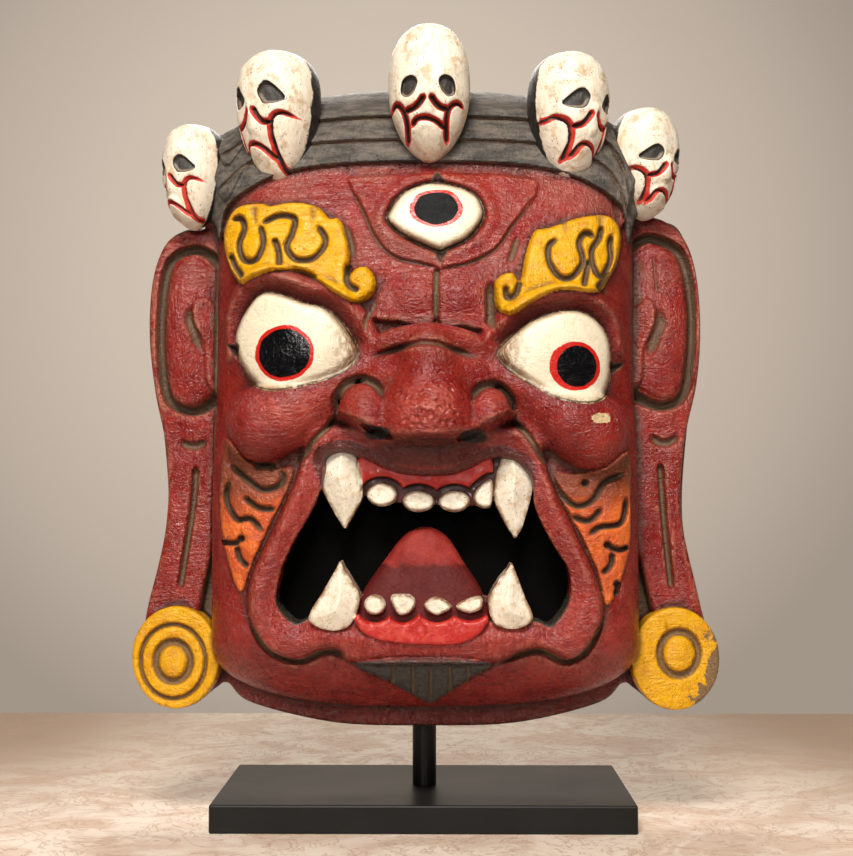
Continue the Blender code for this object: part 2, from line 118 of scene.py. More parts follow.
class Grid:
    """Points in a box, and the wood among them: field is how deep each point is inside the wood."""

    def __init__(self, low, high, steps):
        self.low, self.steps = np.array(low, float), np.array(steps, float)
        self.axes = [np.arange(start, end + step, step).astype(np.float32)
                     for start, end, step in zip(low, high, steps)]
        self.x, self.z, self.out = (axis.reshape([-1 if turn == place else 1 for turn in range(3)])
                                    for place, axis in enumerate(self.axes))
        self.face_x, self.face_z = self.x[:, :, 0], self.z[:, :, 0]
        self.flat = (len(self.axes[0]), len(self.axes[1]))
        self.field = np.full([len(axis) for axis in self.axes], -60, np.float32)

    def window(self, low, high):
        """Slices of the grid that cover a box."""
        found = []
        for axis, step, start, end in zip(self.axes, self.steps, low, high):
            first = int(np.clip((start - axis[0]) // step, 0, len(axis) - 2))
            last = int(np.clip((end - axis[0]) // step + 2, first + 2, len(axis)))
            found.append(slice(first, last))
        return tuple(found)

    def nearest(self, line, reach):
        """For the points of the face near a line: distance to it, and the line's row nearest."""
        low, high = line[:, :2].min(0) - reach, line[:, :2].max(0) + reach
        part = self.window((*low, 0), (*high, 0))[:2]
        x = self.axes[0][part[0]][:, None]
        z = self.axes[1][part[1]][None, :]
        best = np.full((x.shape[0], z.shape[1]), 1e9)
        row = np.zeros_like(best)
        for index in range(len(line) - 1):
            start, step = line[index, :2], line[index + 1, :2] - line[index, :2]
            length = max(step @ step, 1e-9)
            t = np.clip(((x - start[0]) * step[0] + (z - start[1]) * step[1]) / length, 0, 1)
            gap = (x - start[0] - t * step[0]) ** 2 + (z - start[1] - t * step[1]) ** 2
            closer = gap < best
            best[closer] = gap[closer]
            row[closer] = (index + t)[closer]
        return part, np.sqrt(best), row

    def depth_in(self, outline, reach=20, smooth=True):
        """How far each point of the face is inside an outline; negative outside it."""
        line = smooth_line(outline, closed=True) if smooth else np.array([*outline, outline[0]], float)
        part, gap, _ = self.nearest(line, reach)
        x = self.axes[0][part[0]][:, None]
        z = self.axes[1][part[1]][None, :]
        inside = np.zeros(gap.shape, bool)
        for start, end in zip(line[:-1], line[1:]):
            spans = (start[1] > z) != (end[1] > z)
            if end[1] != start[1]:
                crossing = start[0] + (z - start[1]) * (end[0] - start[0]) / (end[1] - start[1])
                inside ^= spans & (x < crossing)
        depth = np.full(self.flat, -float(reach))
        depth[part] = np.where(inside, gap, np.maximum(-gap, -reach))
        return depth

    def along(self, points, reach=12, closed=False):
        """Distance of each point of the face from a curve, and how far along it is, from 0 to 1."""
        line = smooth_line(points, closed)
        part, gap, row = self.nearest(line, reach)
        distance = np.full(self.flat, 1e3)
        share = np.zeros(self.flat)
        distance[part] = gap
        share[part] = row / (len(line) - 1)
        return distance, share

    def ball(self, centre, radii, lean=0, tip=0, turn=0, blend=0, cut=False):
        """An ellipsoid. lean turns it in the plane of the face, tip nods it, turn swings it aside."""
        reach = max(radii) + blend
        part = self.window([c - reach for c in centre], [c + reach for c in centre])
        spin = Euler((math.radians(tip), math.radians(turn), math.radians(lean))).to_matrix().inverted()
        offset = [self.x[part[0]] - centre[0], self.z[:, part[1]] - centre[1],
                  self.out[:, :, part[2]] - centre[2]]
        turned = [sum(spin[row][column] * offset[column] for column in range(3)) for row in range(3)]
        size = np.sqrt(sum((axis / radius) ** 2 for axis, radius in zip(turned, radii)))
        slope = np.sqrt(sum((axis / radius ** 2) ** 2 for axis, radius in zip(turned, radii)))
        depth = np.where(size < 1e-3, min(radii), size * (1 - size) / np.maximum(slope, 1e-6))
        self.join(part, depth, blend, cut)

    def join(self, part, depth, blend, cut=False):
        """Add a form to the wood in a part of the grid, or cut it out, with a soft seam."""
        if cut:
            self.field[part] = soft_min(self.field[part], -depth, blend)
        else:
            self.field[part] = soft_max(self.field[part], depth, blend)

    def roll(self, points, blend=0, squash=1.0, cut=False):
        """A rounded roll along points of (across, up, out, radius)."""
        line = smooth_line(points)
        reach = line[:, 3].max() + blend + 2
        part, gap, row = self.nearest(line, reach)
        rows = np.arange(len(line))
        out = np.interp(row, rows, line[:, 2])[:, :, None]
        radius = np.interp(row, rows, line[:, 3])[:, :, None]
        deep = self.window((0, 0, line[:, 2].min() - reach * 1.6), (0, 0, line[:, 2].max() + reach * 1.6))[2]
        distance = np.sqrt(gap[:, :, None] ** 2 + ((self.out[:, :, deep] - out) * squash) ** 2)
        self.join((*part, deep), radius - distance, blend, cut)

    def sample(self, values, points):
        """Values of the grid at any points, read between its points."""
        spot = (points - self.low) / self.steps
        base = np.clip(np.floor(spot).astype(int), 0, np.array(values.shape[:3]) - 2)
        part = np.clip(spot - base, 0, 1)
        total = 0
        for corner in range(8):
            offset = np.array([corner >> 2 & 1, corner >> 1 & 1, corner & 1])
            weight = np.prod(np.where(offset, part, 1 - part), axis=1)
            i, j, k = (base + offset).T
            total = total + weight * values[i, j, k]
        return total

    def sample_flat(self, values, points):
        """Values of a map of the face at any points, read between its points."""
        spot = (points[:, :2] - self.low[:2]) / self.steps[:2]
        base = np.clip(np.floor(spot).astype(int), 0, np.array(values.shape) - 2)
        u, v = np.clip(spot - base, 0, 1).T
        i, j = base.T
        return between_four(values, i, j, u, v)

    def fullness(self, radius):
        """The share of wood in a cube about each point: over a half in hollows, less on edges."""
        total = np.clip(self.field / (2 * self.steps.min()) + 0.5, 0, 1)
        for axis, step in enumerate(self.steps):
            reach = max(1, int(round(radius / step)))
            ends = [(reach + 1, reach) if turn == axis else (0, 0) for turn in range(3)]
            sums = np.cumsum(np.pad(total, ends, mode="edge"), axis=axis, dtype=np.float64)
            after = [slice(2 * reach + 1, None) if turn == axis else slice(None) for turn in range(3)]
            before = [slice(None, -2 * reach - 1) if turn == axis else slice(None) for turn in range(3)]
            total = ((sums[tuple(after)] - sums[tuple(before)]) / (2 * reach + 1)).astype(np.float32)
        return total

    def surface(self):
        """Corners and four-sided faces of the wood's surface, facing out of the wood."""
        field = self.field
        for axis in range(3):
            ends = [slice(None)] * 3
            for end in (0, -1):
                ends[axis] = end
                field[tuple(ends)] = np.minimum(field[tuple(ends)], -1e-3)
        inside = field > 0
        shape = np.array(field.shape)
        hop = np.array([shape[1] * shape[2], shape[2], 1])
        corner_ids, spots, quads = [], [], []
        flat = field.ravel()
        for axis in range(3):
            near, far = [slice(None)] * 3, [slice(None)] * 3
            near[axis], far[axis] = slice(None, -1), slice(1, None)
            crossing = np.argwhere(inside[tuple(near)] != inside[tuple(far)])
            start = crossing @ hop
            first, second = flat[start], flat[start + hop[axis]]
            spot = crossing.astype(np.float64)
            spot[:, axis] += first / (first - second)
            left, up = hop[(axis + 1) % 3], hop[(axis + 2) % 3]
            around = np.stack([start - left - up, start - up, start, start - left], axis=1)
            around[first < 0] = around[first < 0][:, ::-1]
            quads.append(around)
            corner_ids.append(around.ravel())
            spots.append(np.repeat(spot, 4, axis=0))
        corner_ids, spots = np.concatenate(corner_ids), np.concatenate(spots)
        used = np.zeros(flat.size, bool)
        used[corner_ids] = True
        number = np.cumsum(used) - 1
        index = number[corner_ids]
        count = np.bincount(index)
        corners = np.stack([np.bincount(index, weights=spots[:, axis]) / count for axis in range(3)], axis=1)
        return corners * self.steps + self.low, number[np.concatenate(quads)]

    def slope(self, points):
        """Unit vectors out of the wood at points on its surface."""
        way = np.zeros_like(points)
        for axis in range(3):
            shift = np.zeros(3)
            shift[axis] = self.steps[axis] * 0.7
            way[:, axis] = (self.sample(self.field, points - shift)
                            - self.sample(self.field, points + shift)) / (2 * shift[axis])
        return way / np.maximum(np.linalg.norm(way, axis=1, keepdims=True), 1e-9)


def lumps(grid, size, seed, height=1.0):
    """Gentle unevenness over the face, about size mm across."""
    random = np.random.RandomState(seed)
    cells = [int(len(axis) * step / size) + 3 for axis, step in zip(grid.axes[:2], grid.steps)]
    rough = random.uniform(-1, 1, cells)
    spots = [np.arange(len(axis)) * step / size for axis, step in zip(grid.axes[:2], grid.steps)]
    base = [np.floor(spot).astype(int) for spot in spots]
    part = [ease(spot - floor, 0, 1) for spot, floor in zip(spots, base)]
    u, v = part[0][:, None], part[1][None, :]
    i, j = base[0][:, None], base[1][None, :]
    return height * between_four(rough, i, j, u, v)


# ---------------------------------------------------------------- meshes

def as_mesh(name, corners, faces, triangles=None):
    """A piece made from four-sided faces, thinned to a number of triangles."""
    mesh = bpy.data.meshes.new(name)
    mesh.vertices.add(len(corners))
    mesh.vertices.foreach_set("co", corners.astype(np.float32).ravel())
    mesh.loops.add(faces.size)
    mesh.loops.foreach_set("vertex_index", faces.astype(np.int32).ravel())
    mesh.polygons.add(len(faces))
    mesh.polygons.foreach_set("loop_start", np.arange(0, faces.size, faces.shape[1], dtype=np.int32))
    mesh.update(calc_edges=True)
    mesh.validate()
    item = bpy.data.objects.new(name, mesh)
    bpy.context.scene.collection.objects.link(item)
    if triangles and 2 * len(faces) > triangles:
        thin = item.modifiers.new("Thin", "DECIMATE")
        thin.ratio = triangles / (2 * len(faces))
        graph = bpy.context.evaluated_depsgraph_get()
        settled = bpy.data.meshes.new_from_object(item.evaluated_get(graph))
        item.modifiers.clear()
        item.data = settled
        settled.name = name
        bpy.data.meshes.remove(mesh)
    return item


def mesh_points(item):
    points = np.zeros(len(item.data.vertices) * 3)
    item.data.vertices.foreach_get("co", points)
    return points.reshape(-1, 3)


def add_values(item, name, values):
    """Store a value at each corner of a piece, for its finish to read."""
    layer = item.data.attributes.new(name, "FLOAT", "POINT")
    layer.data.foreach_set("value", np.asarray(values, np.float32))


def carve_out(name, grid, triangles, place):
    """The grid's wood as a piece, and its points on the grid.

    place turns the grid's points, or its directions, into the world's."""
    corners, faces = grid.surface()
    item = as_mesh(name, corners, faces, triangles)
    points = mesh_points(item)
    way = grid.slope(points)
    points = points - way * np.clip(-grid.sample(grid.field, points), -0.4, 0.4)[:, None]
    normals = grid.slope(points)
    item.data.vertices.foreach_set("co", place(points, False).astype(np.float32).ravel())
    item.data.shade_smooth()
    item.data.normals_split_custom_set_from_vertices(place(normals, True).astype(np.float32))
    return item, points


def face_to_world(points, direction):
    """Points of the mask, in mm, or directions, in the world's axes and metres."""
    turned = np.stack([points[:, 0], -points[:, 2], points[:, 1]], axis=1)
    return turned if direction else (turned + np.array([0, BACK, 0])) * MM


# ---------------------------------------------------------------- outlines of the mask

def arc(middle, radii, start, end, steps=5):
    """Points on part of an ellipse, from one angle to another in degrees."""
    turns = np.radians(np.linspace(start, end, steps + 1))
    return [(middle[0] + radii[0] * math.cos(turn), middle[1] + radii[1] * math.sin(turn))
            for turn in turns]


def both_sides(half, middle):
    """A half outline, drawn from the middle outwards, with its mirror image."""
    other = [(-x, z) for x, z in reversed(half) if x > 0]
    return [(middle + x, z) for x, z in [*half, *other]]


def arch(top, drop, half_width, ends, power):
    """A line over the forehead that is flat in the middle and falls towards the temples."""
    return [(x, top - drop * abs(x / half_width) ** power) for x in np.linspace(*ends, 13)]


# One flank of the back plate, from under the chin up round the earring and the ear. The right
# ear's top stands a little higher than the left one's.
PLATE_MIDDLE = 0.5
EAR_CREST_LOW, EAR_CREST_HIGH, EAR_LIFT = 380, 400, 6
FLANK = [(0, 60), (60, 62), (115, 75), (131, 88), *arc((162.5, 107), (30.5, 35), -140, 40),
         (172, 195), (176, 262), (184, 315), (180, 362), (170, 386), (148, 392), (122, 404), (0, 420)]
PLATE = [(x, z + EAR_LIFT if x > 0 and EAR_CREST_LOW < z < EAR_CREST_HIGH else z)
         for x, z in both_sides(FLANK, PLATE_MIDDLE)]

RIGHT_EAR = [
    (128, 394), (142, 397), (158, 395), (172, 383), (180, 360), (183, 325), (180, 286), (171, 243),
    (170, 195), (183, 131), (178, 118), (154, 127), (143, 165), (136, 192), (130, 280)]
LEFT_EAR = [
    (-128, 386), (-142, 389), (-158, 389), (-172, 379), (-180, 355), (-182, 320), (-178, 282),
    (-170, 240), (-170, 192), (-183, 131), (-178, 118), (-152, 127), (-144, 155), (-137, 195), (-130, 280)]

CROWN_HALF_WIDTH = 132
BAND = [(-170, 396), (-150, 393), (-137, 390), (-131, 376), *arch(424, 28, 126, (-126, 126), 4),
        (131, 373), (138, 392), (150, 400), (170, 402), (170, 540), (0, 560), (-170, 540)]
BAND_LINES = [
    [*arch(456, 24, CROWN_HALF_WIDTH, (-132, 118), 3.5), (128, 424), (132, 402)],
    [*arch(439, 30, CROWN_HALF_WIDTH, (-132, 112), 4.5), (123, 413), (130, 392)]]

LEFT_BROW = [
    (-114, 345), (-125, 363), (-127, 381), (-119, 395), (-102, 397), (-96, 395), (-82, 397), (-67, 394),
    (-58, 386), (-53, 386), (-48, 377), (-45, 364), (-46, 349), (-40, 353), (-34, 353), (-29, 345),
    (-31, 336), (-42, 331), (-57, 339), (-72, 350), (-90, 351), (-104, 347)]
RIGHT_BROW = [
    (44, 340), (46, 328), (54, 323), (66, 330), (84, 338), (107, 338), (116, 348), (124, 364), (125, 380),
    (117, 389), (99, 387), (80, 380), (70, 377), (64, 363), (60, 345), (55, 350), (47, 347)]

LEFT_BROW_CUTS = [
    [(-121, 386), (-115, 387), (-112, 380), (-115, 369), (-111, 359), (-103, 359), (-99, 370), (-102, 382)],
    [(-101, 382), (-90, 387), (-80, 385), (-81, 375), (-84, 366), (-78, 358), (-67, 359), (-60, 370),
     (-66, 381)],
    [(-92, 372), (-89, 363), (-88, 354)],
    [(-121, 364), (-117, 355), (-111, 347)],
    [(-46, 355), (-46, 343), (-39, 338)]]
LEFT_BROW_WEDGES = [[(-106, 392), (-104, 378)], [(-68, 391), (-69, 377)]]
RIGHT_BROW_CUTS = [
    [(84, 372), (78, 366), (78, 356), (84, 347), (92, 347), (99, 357), (97, 369), (102, 376), (108, 372)],
    [(112, 382), (110, 373), (105, 364), (106, 353), (111, 348), (117, 359), (117, 370), (119, 376)],
    [(103, 358), (101, 349), (99, 340)],
    [(115, 352), (112, 346), (108, 340)],
    [(60, 344), (57, 336), (52, 334), (51, 341)]]
RIGHT_BROW_WEDGES = [[(88, 384), (89, 372)], [(112, 386), (110, 373)]]

THIRD_EYE = [
    (-22, 388), (-13, 402), (2, 409), (18, 408), (33, 401), (38, 387), (29, 373), (16, 366), (11, 364),
    (5, 366), (-8, 372), (-19, 380)]
LEFT_EYE = [
    (-118, 313), (-112, 326), (-102, 337), (-91, 338), (-74, 332), (-60, 328), (-48, 317), (-39, 300),
    (-45, 290), (-60, 283), (-84, 277), (-101, 279), (-112, 291), (-117, 303)]
RIGHT_EYE = [
    (46, 300), (56, 312), (71, 322), (91, 327), (106, 323), (116, 311), (118, 293), (114, 276),
    (103, 269), (84, 271), (68, 279), (53, 289)]

# Facets between the brows, above the bridge of the nose.
BRIDGE_PADS = [
    [(7, 353), (-10, 356), (-20, 346), (-29, 334), (-33, 322), (-15, 319), (7, 318)],
    [(10, 352), (27, 355), (38, 345), (40, 330), (38, 315), (25, 316), (10, 318)]]

# Where the upper lid of each eye lies.
LIDS = [
    [(-125, 300), (-122, 350), (-80, 360), (-20, 340), (-24, 305), (-36, 300), (-80, 318), (-112, 305)],
    [(34, 303), (40, 330), (80, 350), (118, 345), (128, 305), (120, 300), (80, 312), (50, 296)]]

# An upper lid's profile: its height at each distance out from the eye's edge.
LID_DISTANCES, LID_HEIGHTS = [-1, 0, 1, 8.5, 10.5, 14.5, 17], [0, 0.5, 1.5, 10, 10.5, 6, 0]

# Each eye: middle of the ball, its half width and height, and how far it stands out.
EYE_BALLS = [((-82, 306), (46, 36), 22), ((84, 297), (43, 34), 22), ((8, 388), (33, 25), 9)]

LIPS = [
    (-71, 246), (-78, 224), (-92, 192), (-106, 162), (-107, 137), (-95, 117), (-77, 111), (-62, 117),
    (-52, 117), (-43, 110), (0, 109), (45, 110), (60, 116), (72, 118), (88, 111), (101, 118), (111, 138),
    (108, 159), (93, 192), (79, 222), (72, 244), (60, 254), (34, 256), (5, 254), (-28, 256), (-58, 255)]
MOUTH = [
    (-62, 218), (-67, 234), (-60, 244), (-45, 246), (-29, 239), (-13, 230), (3, 228), (19, 230), (34, 239),
    (48, 243), (64, 237), (69, 226), (67, 208), (76, 186), (88, 165), (89, 148), (79, 133), (68, 136),
    (40, 136), (0, 134), (-40, 136), (-66, 138), (-78, 134), (-89, 146), (-87, 160), (-78, 182), (-66, 204)]

# How far the wall of the mouth closes in towards the back at each level.
WALL_LEVELS, WALL_LEANS = [130, 150, 170, 214, 222, 230, 244], [1.5, 0, -2.5, -1.5, 2, 7, 8.5]

LEFT_FLAME = [
    (-122, 248), (-108, 234), (-93, 229), (-80, 230), (-81, 220), (-92, 198), (-104, 173), (-112, 153),
    (-120, 168), (-126, 195), (-127, 226)]
RIGHT_FLAME = [
    (82, 226), (94, 226), (112, 230), (129, 240), (130, 212), (128, 176), (114, 145), (107, 167),
    (95, 192), (85, 212)]
FLAME_CUTS = [
    [(-121, 233), (-108, 222), (-98, 216), (-88, 219), (-86, 225), (-91, 229)],
    [(-91, 229), (-97, 231), (-104, 230)],
    [(-111, 212), (-101, 205), (-90, 204)],
    [(-120, 223), (-122, 210), (-115, 198), (-106, 198), (-97, 188)],
    [(-126, 184), (-119, 183), (-112, 184)],
    [(-115, 182), (-113, 174), (-107, 168)],
    [(81, 221), (87, 211), (96, 206), (105, 210), (113, 221), (128, 227)],
    [(91, 200), (102, 197), (111, 205)],
    [(101, 187), (109, 193), (123, 196), (127, 213)],
    [(114, 181), (122, 179), (129, 181)],
    [(117, 178), (116, 170), (110, 164)],
    [(121, 160), (120, 155), (119, 150)]]
FLAME_HOLES = [(-112, 186), (100, 220), (114, 182), (120, 158)]

BEARD = [(-42, 110), (-20, 96), (-5, 86), (5, 81), (14, 87), (28, 98), (43, 110), (4, 114)]
BEARD_TIP = (5, 82)
BEARD_RIBS = [[(x, 108), (x, BEARD_TIP[1] + 0.6 * abs(x - BEARD_TIP[0]))]
              for x in (-18, -6, 5, 17, 28)]

FOREHEAD_LINES = [
    [(-46, 408), (-37, 390), (-30, 374), (-18, 361), (8, 354)],
    [(72, 403), (57, 382), (46, 366), (30, 357), (10, 352)],
    [(-49, 384), (-45, 371), (-42, 357)],
    [(60, 376), (57, 366), (53, 354)]]

# Other cuts of the face: points, width, depth, how much of each end thins out, and grime.
FACE_CUTS = [
    ([(42, 347), (41.5, 335), (42, 322), (45, 309)], 7, 4, 0.3, 0.66),
    ([(-27, 337), (-30, 328), (-35, 319), (-33, 308)], 4, 3, 0.3, 0.66),
    ([(-53, 262), (-58, 254), (-66, 246), (-71, 239), (-77, 231)], 5, 4, 0.2, 0.66),
    ([(56, 259), (60, 254), (65.5, 247), (71, 239), (77, 229.5)], 5, 4, 0.2, 0.66),
    ([(9, 353), (8.5, 345), (8.2, 323)], 4.6, 3.4, 0.08, 0.75)]
NOSE_CUTS = [
    (arc((-38, 266), (15, 17.5), 10, 195), 6.5, 3.6, 0.2, 0.6),
    (arc((42, 264), (13, 16), 165, -15), 6.5, 3.6, 0.2, 0.6),
    ([(-34, 297), (3, 304), (39, 294)], 5, 3, 0.25, 0.5)]

# Cuts that run out to nothing, at the eyes' outer corners and above and below the third eye: points,
# width and depth.
FACE_WEDGES = [
    ([(-117, 304), (-121, 306), (-126, 309)], 8, 3),
    ([(119, 293), (124, 295), (130, 298)], 8, 3),
    ([(9.5, 400), (9.3, 409), (9, 419)], 25, 4),
    ([(11.2, 370), (11.2, 363), (11, 354)], 15, 3.5)]

# The carved edge under each half of the lower lip.
LIP_EDGES = [[(-108, 140), (-97, 119), (-79, 110), (-62, 116), (-53, 116), (-44, 110)],
             [(112, 140), (102, 118), (89, 110), (73, 117), (60, 115), (46, 109)]]

# Each skull: its middle across and outwards, level of its eyes, half width, height above and below
# its eyes, half width and height of an eye socket, and how far it is turned to its side.
Skull = namedtuple("Skull", "across out level half_width above below socket turn")
SKULLS = [
    Skull(-150, 40, 426, 20, 29, 37, (6.2, 6), -42),
    Skull(-93, 60, 465, 26, 32, 50, (7.5, 7.5), -36),
    Skull(4, 70, 467, 26, 44, 40, (5.2, 6.5), 0),
    Skull(93, 60, 461, 25, 35, 45, (7.2, 6.6), 39),
    Skull(144, 40, 432, 22, 33, 37, (6.8, 5.5), 38)]

# The pattern that every skull is a stretched copy of: half width, and heights from its eyes to its
# crown and to its chin.
PATTERN_HALF_WIDTH, PATTERN_CROWN, PATTERN_CHIN = 26.3, 46, 44

# A skull is widest a little above its eyes; its dome is a full arch and its jaw narrows to the chin.
SKULL_WIDEST, DOME_POWER, JAW_FULLNESS = 4, 2.4, 0.6

# The left eye socket of a skull that faces forwards and of one that is turned to the left, as shares
# of its size.
FRONT_SOCKET = [(-0.6, 0.8), (0.4, 0.95), (1, 0.4), (0.6, -0.6), (-0.2, -1.1), (-1, -0.7), (-1, 0.2)]
TURNED_SOCKET = [(-1, 0.3), (-0.4, 1), (0.3, 0.7), (1.1, -0.4), (0.6, -0.9), (-0.4, -0.95), (-0.8, -0.5)]

# Cuts of the pattern's face: points, width and depth.
SKULL_CUTS = [
    ([(-3, -7), (-5, -11), (-9, -15), (-15, -17)], 5, 4.2),
    ([(1, -7), (3, -11), (7, -15), (12, -16)], 5, 4.2),
    ([(-24, -16), (-21, -11), (-17, -15), (-14, -24), (-13, -38)], 4, 3.6),
    ([(22, -14), (18, -11), (13, -15), (11, -23), (11, -38)], 4, 3.6),
    ([(-11, -28), (-8, -23), (-3, -22), (4, -24), (11, -29)], 4.4, 3.6)]

# Each ear: its side, its outline, the full shell, the channel round it, the small lobe on it, folds
# (points, width and depth) and the slit in the long lobe.
Ear = namedtuple("Ear", "side outline shell channel lobe folds slit")
EARS = [
    Ear(-1, LEFT_EAR,
        [(-128, 357), (-137, 361), (-153, 370), (-165, 360), (-169, 335), (-169, 300), (-165, 278),
         (-153, 272), (-139, 279), (-128, 283)],
        [(-134, 363), (-141, 371), (-153, 375), (-168, 366), (-173, 336), (-173, 303), (-168, 276),
         (-153, 268), (-140, 273), (-134, 279)],
        [(-128, 343), (-136, 338), (-143, 343), (-151, 339), (-151, 326), (-144, 312), (-142, 285),
         (-128, 283)],
        [([(-152, 338), (-154, 329), (-151, 320), (-145, 304)], 7, 4),
         (arc((-152, 252), (9, 7), 180, 360), 6.5, 4)],
        [(-150, 231), (-152, 205), (-160, 152)]),
    Ear(1, RIGHT_EAR,
        [(128, 370), (138, 371), (152, 377), (166, 367), (172, 340), (172, 308), (167, 283), (156, 276),
         (141, 283), (128, 286)],
        [(134, 374), (142, 380), (152, 382), (169, 372), (176, 345), (176, 312), (171, 280), (157, 271),
         (142, 276), (135, 282)],
        [(128, 343), (138, 336), (146, 342), (152, 334), (150, 322), (144, 308), (142, 286), (128, 286)],
        [([(152, 337), (155, 327), (152, 317), (146, 301)], 8.5, 4),
         ([(151, 375), (152, 358), (153, 338)], 2.6, 1.5),
         (arc((158, 255), (9, 8), 180, 360), 6.5, 4)],
        [(155, 233), (158, 192), (162, 152)])]

# Each earring: its middle, half width and height, how far its rings lie off its middle, the rings'
# radii and widths, the radius of its knob, and the lean of its face.
Earring = namedtuple("Earring", "middle half rings_off rings knob lean")
EARRINGS = [
    Earring((-161, 107.5), (29, 33), (-1.6, -2.5), [(21.5, 3.2), (11.5, 5.4)], 8.6, 0.1),
    Earring((163, 107), (29, 33), (2.2, 3.5), [(12.6, 5.4)], 9.8, -0.1)]

# The head's outline: a rounded square's arch over straight sides, and another under them. Levels are
# measured from its middle.
HEAD_MIDDLE = (1, 262)
HEAD_HALF_WIDTH, HEAD_SQUARENESS = 137.5, 2.55
SIDE_TOP, SIDE_FOOT, SIDE_POINTS = 154, -142, 240
CROWN_RISE, CHIN_DROP = 58, 45

# How far the head's front and the hollow's floor are from the flat back, and the hollow's size.
HEAD_FRONT, HOLLOW_FRONT = 90, 80
HOLLOW_LEVEL, HOLLOW_HALF_WIDTH, HOLLOW_HALF_HEIGHT = 250, 118, 150

# The box that the mask is carved in. The finish reads the value "out" as a share of its depth.
MASK_LOW, MASK_HIGH = (-200, 52, -3), (200, 500, 150)


# ---------------------------------------------------------------- the block and its relief

def head_radius(grid):
    """How far out from the middle of the face each point is, as a share of the head's outline."""
    angle = np.linspace(0, math.pi, SIDE_POINTS + 1)
    power = 2 / HEAD_SQUARENESS
    across = HEAD_HALF_WIDTH * np.sign(np.cos(angle)) * np.abs(np.cos(angle)) ** power
    rise = np.abs(np.sin(angle)) ** power
    side = np.linspace(SIDE_TOP, SIDE_FOOT, SIDE_POINTS)
    flank = np.full(SIDE_POINTS, HEAD_HALF_WIDTH)
    across = np.concatenate([across, -flank, -across, flank])
    up = np.concatenate([SIDE_TOP + CROWN_RISE * rise, side, SIDE_FOOT - CHIN_DROP * rise, side[::-1]])
    turn = np.arctan2(up, across)
    order = np.argsort(turn)
    x, z = grid.face_x - HEAD_MIDDLE[0], grid.face_z - HEAD_MIDDLE[1]
    edge = np.interp(np.arctan2(z, x), turn[order], np.hypot(across, up)[order], period=math.tau)
    return np.hypot(x, z) / edge


def forehead_lean(grid):
    """What is left of the head's depth at each level, as the forehead leans back."""
    return 1 - 0.2 * ease(grid.z, 330, 470)


def head_block(grid, relief):
    """The rounded block of the head, with a relief over its front."""
    share = np.minimum(head_radius(grid), 1.4)[:, :, None]
    power = 5.5 - 2.0 * ease(grid.z, 200, 290)
    front = HEAD_FRONT * forehead_lean(grid) - 24 * ease(grid.z, 122, 70)
    out = np.maximum(grid.out - relief[:, :, None].astype(np.float32), 0)
    shape = ((share ** power).astype(np.float32) + (out / front).astype(np.float32) ** power) ** (1 / power)
    grid.field = np.maximum(grid.field, (1 - shape) * front).astype(np.float32)


def slab(grid, outline_depth, front, blend):
    """A plate with a rounded front edge; front is the height of its face, a number or a map."""
    front = np.broadcast_to(front, grid.flat)[:, :, None]
    body = soft_min(front - grid.out, outline_depth[:, :, None], blend)
    grid.field = np.maximum(grid.field, body).astype(np.float32)


class Marks:
    """Cuts into the face and the grime that lies in them."""

    def __init__(self, grid):
        self.grid = grid
        self.cut = np.zeros(grid.flat)
        self.grime = np.zeros(grid.flat)

    def line(self, points, width, depth, fade=0.12, grime=1.0, sharp=2.0):
        """A cut along a curve, which thins out over a share of it, fade, at each end."""
        gap, share = self.grid.along(points, reach=width + 3)
        ends = np.minimum(ease(share, -0.02, fade), ease(-share, -1.02, -1 + fade))
        half = width / 2 * (0.45 + 0.55 * ends)
        across = np.clip(1 - gap / half, 0, 1)
        self.cut = np.maximum(self.cut, depth * ends * (1 - (1 - across) ** sharp))
        self.grime = np.maximum(self.grime, grime * ease(half + 0.3 - gap, 0, 1.3) * np.sqrt(ends))

    def wedge(self, points, width, depth, grime=1.0):
        """A cut that is wide and deep at its first point and runs out at its last."""
        gap, share = self.grid.along(points, reach=width + 3)
        half = width / 2 * np.clip(1 - share, 0.05, 1)
        across = np.clip(1 - gap / half, 0, 1)
        self.cut = np.maximum(self.cut, depth * np.clip(1.1 - share, 0, 1) * across)
        self.grime = np.maximum(self.grime, grime * ease(half + 0.4 - gap, 0, 1.0))

    def hole(self, spot, radius, depth):
        gap = np.hypot(self.grid.face_x - spot[0], self.grid.face_z - spot[1])
        self.cut = np.maximum(self.cut, depth * ease(radius + 0.8 - gap, 0, 1.6))
        self.grime = np.maximum(self.grime, ease(radius + 0.8 - gap, 0, 1.2))


def bulge(grid, spot, radii, height, lean=0):
    """A soft swelling of the face, leaning by an angle in degrees."""
    x, z = grid.face_x - spot[0], grid.face_z - spot[1]
    turn = math.radians(lean)
    u = (x * math.cos(turn) + z * math.sin(turn)) / radii[0]
    v = (z * math.cos(turn) - x * math.sin(turn)) / radii[1]
    return height * np.maximum(1 - u * u - v * v, 0) ** 1.3


def add_eyeballs(grid, relief, eyes):
    """The relief with eyeballs in their sockets and a rim round the third eye."""
    for depth, (spot, half, height) in zip(eyes, EYE_BALLS):
        x, z = grid.face_x - spot[0], grid.face_z - spot[1]
        dome = np.sqrt(np.maximum(1 - (x / half[0]) ** 2 - (z / half[1]) ** 2, 0))
        relief = relief + height * (0.35 + 0.65 * dome) * round_edge(depth, 5)
        relief = relief - 1.4 * ease(2.2 - np.abs(depth), 0, 2.2)
    rim = np.clip(-eyes[2] / 12, 0, 1)
    return relief + 2.6 * ease(rim, 0, 0.3) * ease(-rim, -1, -0.35)


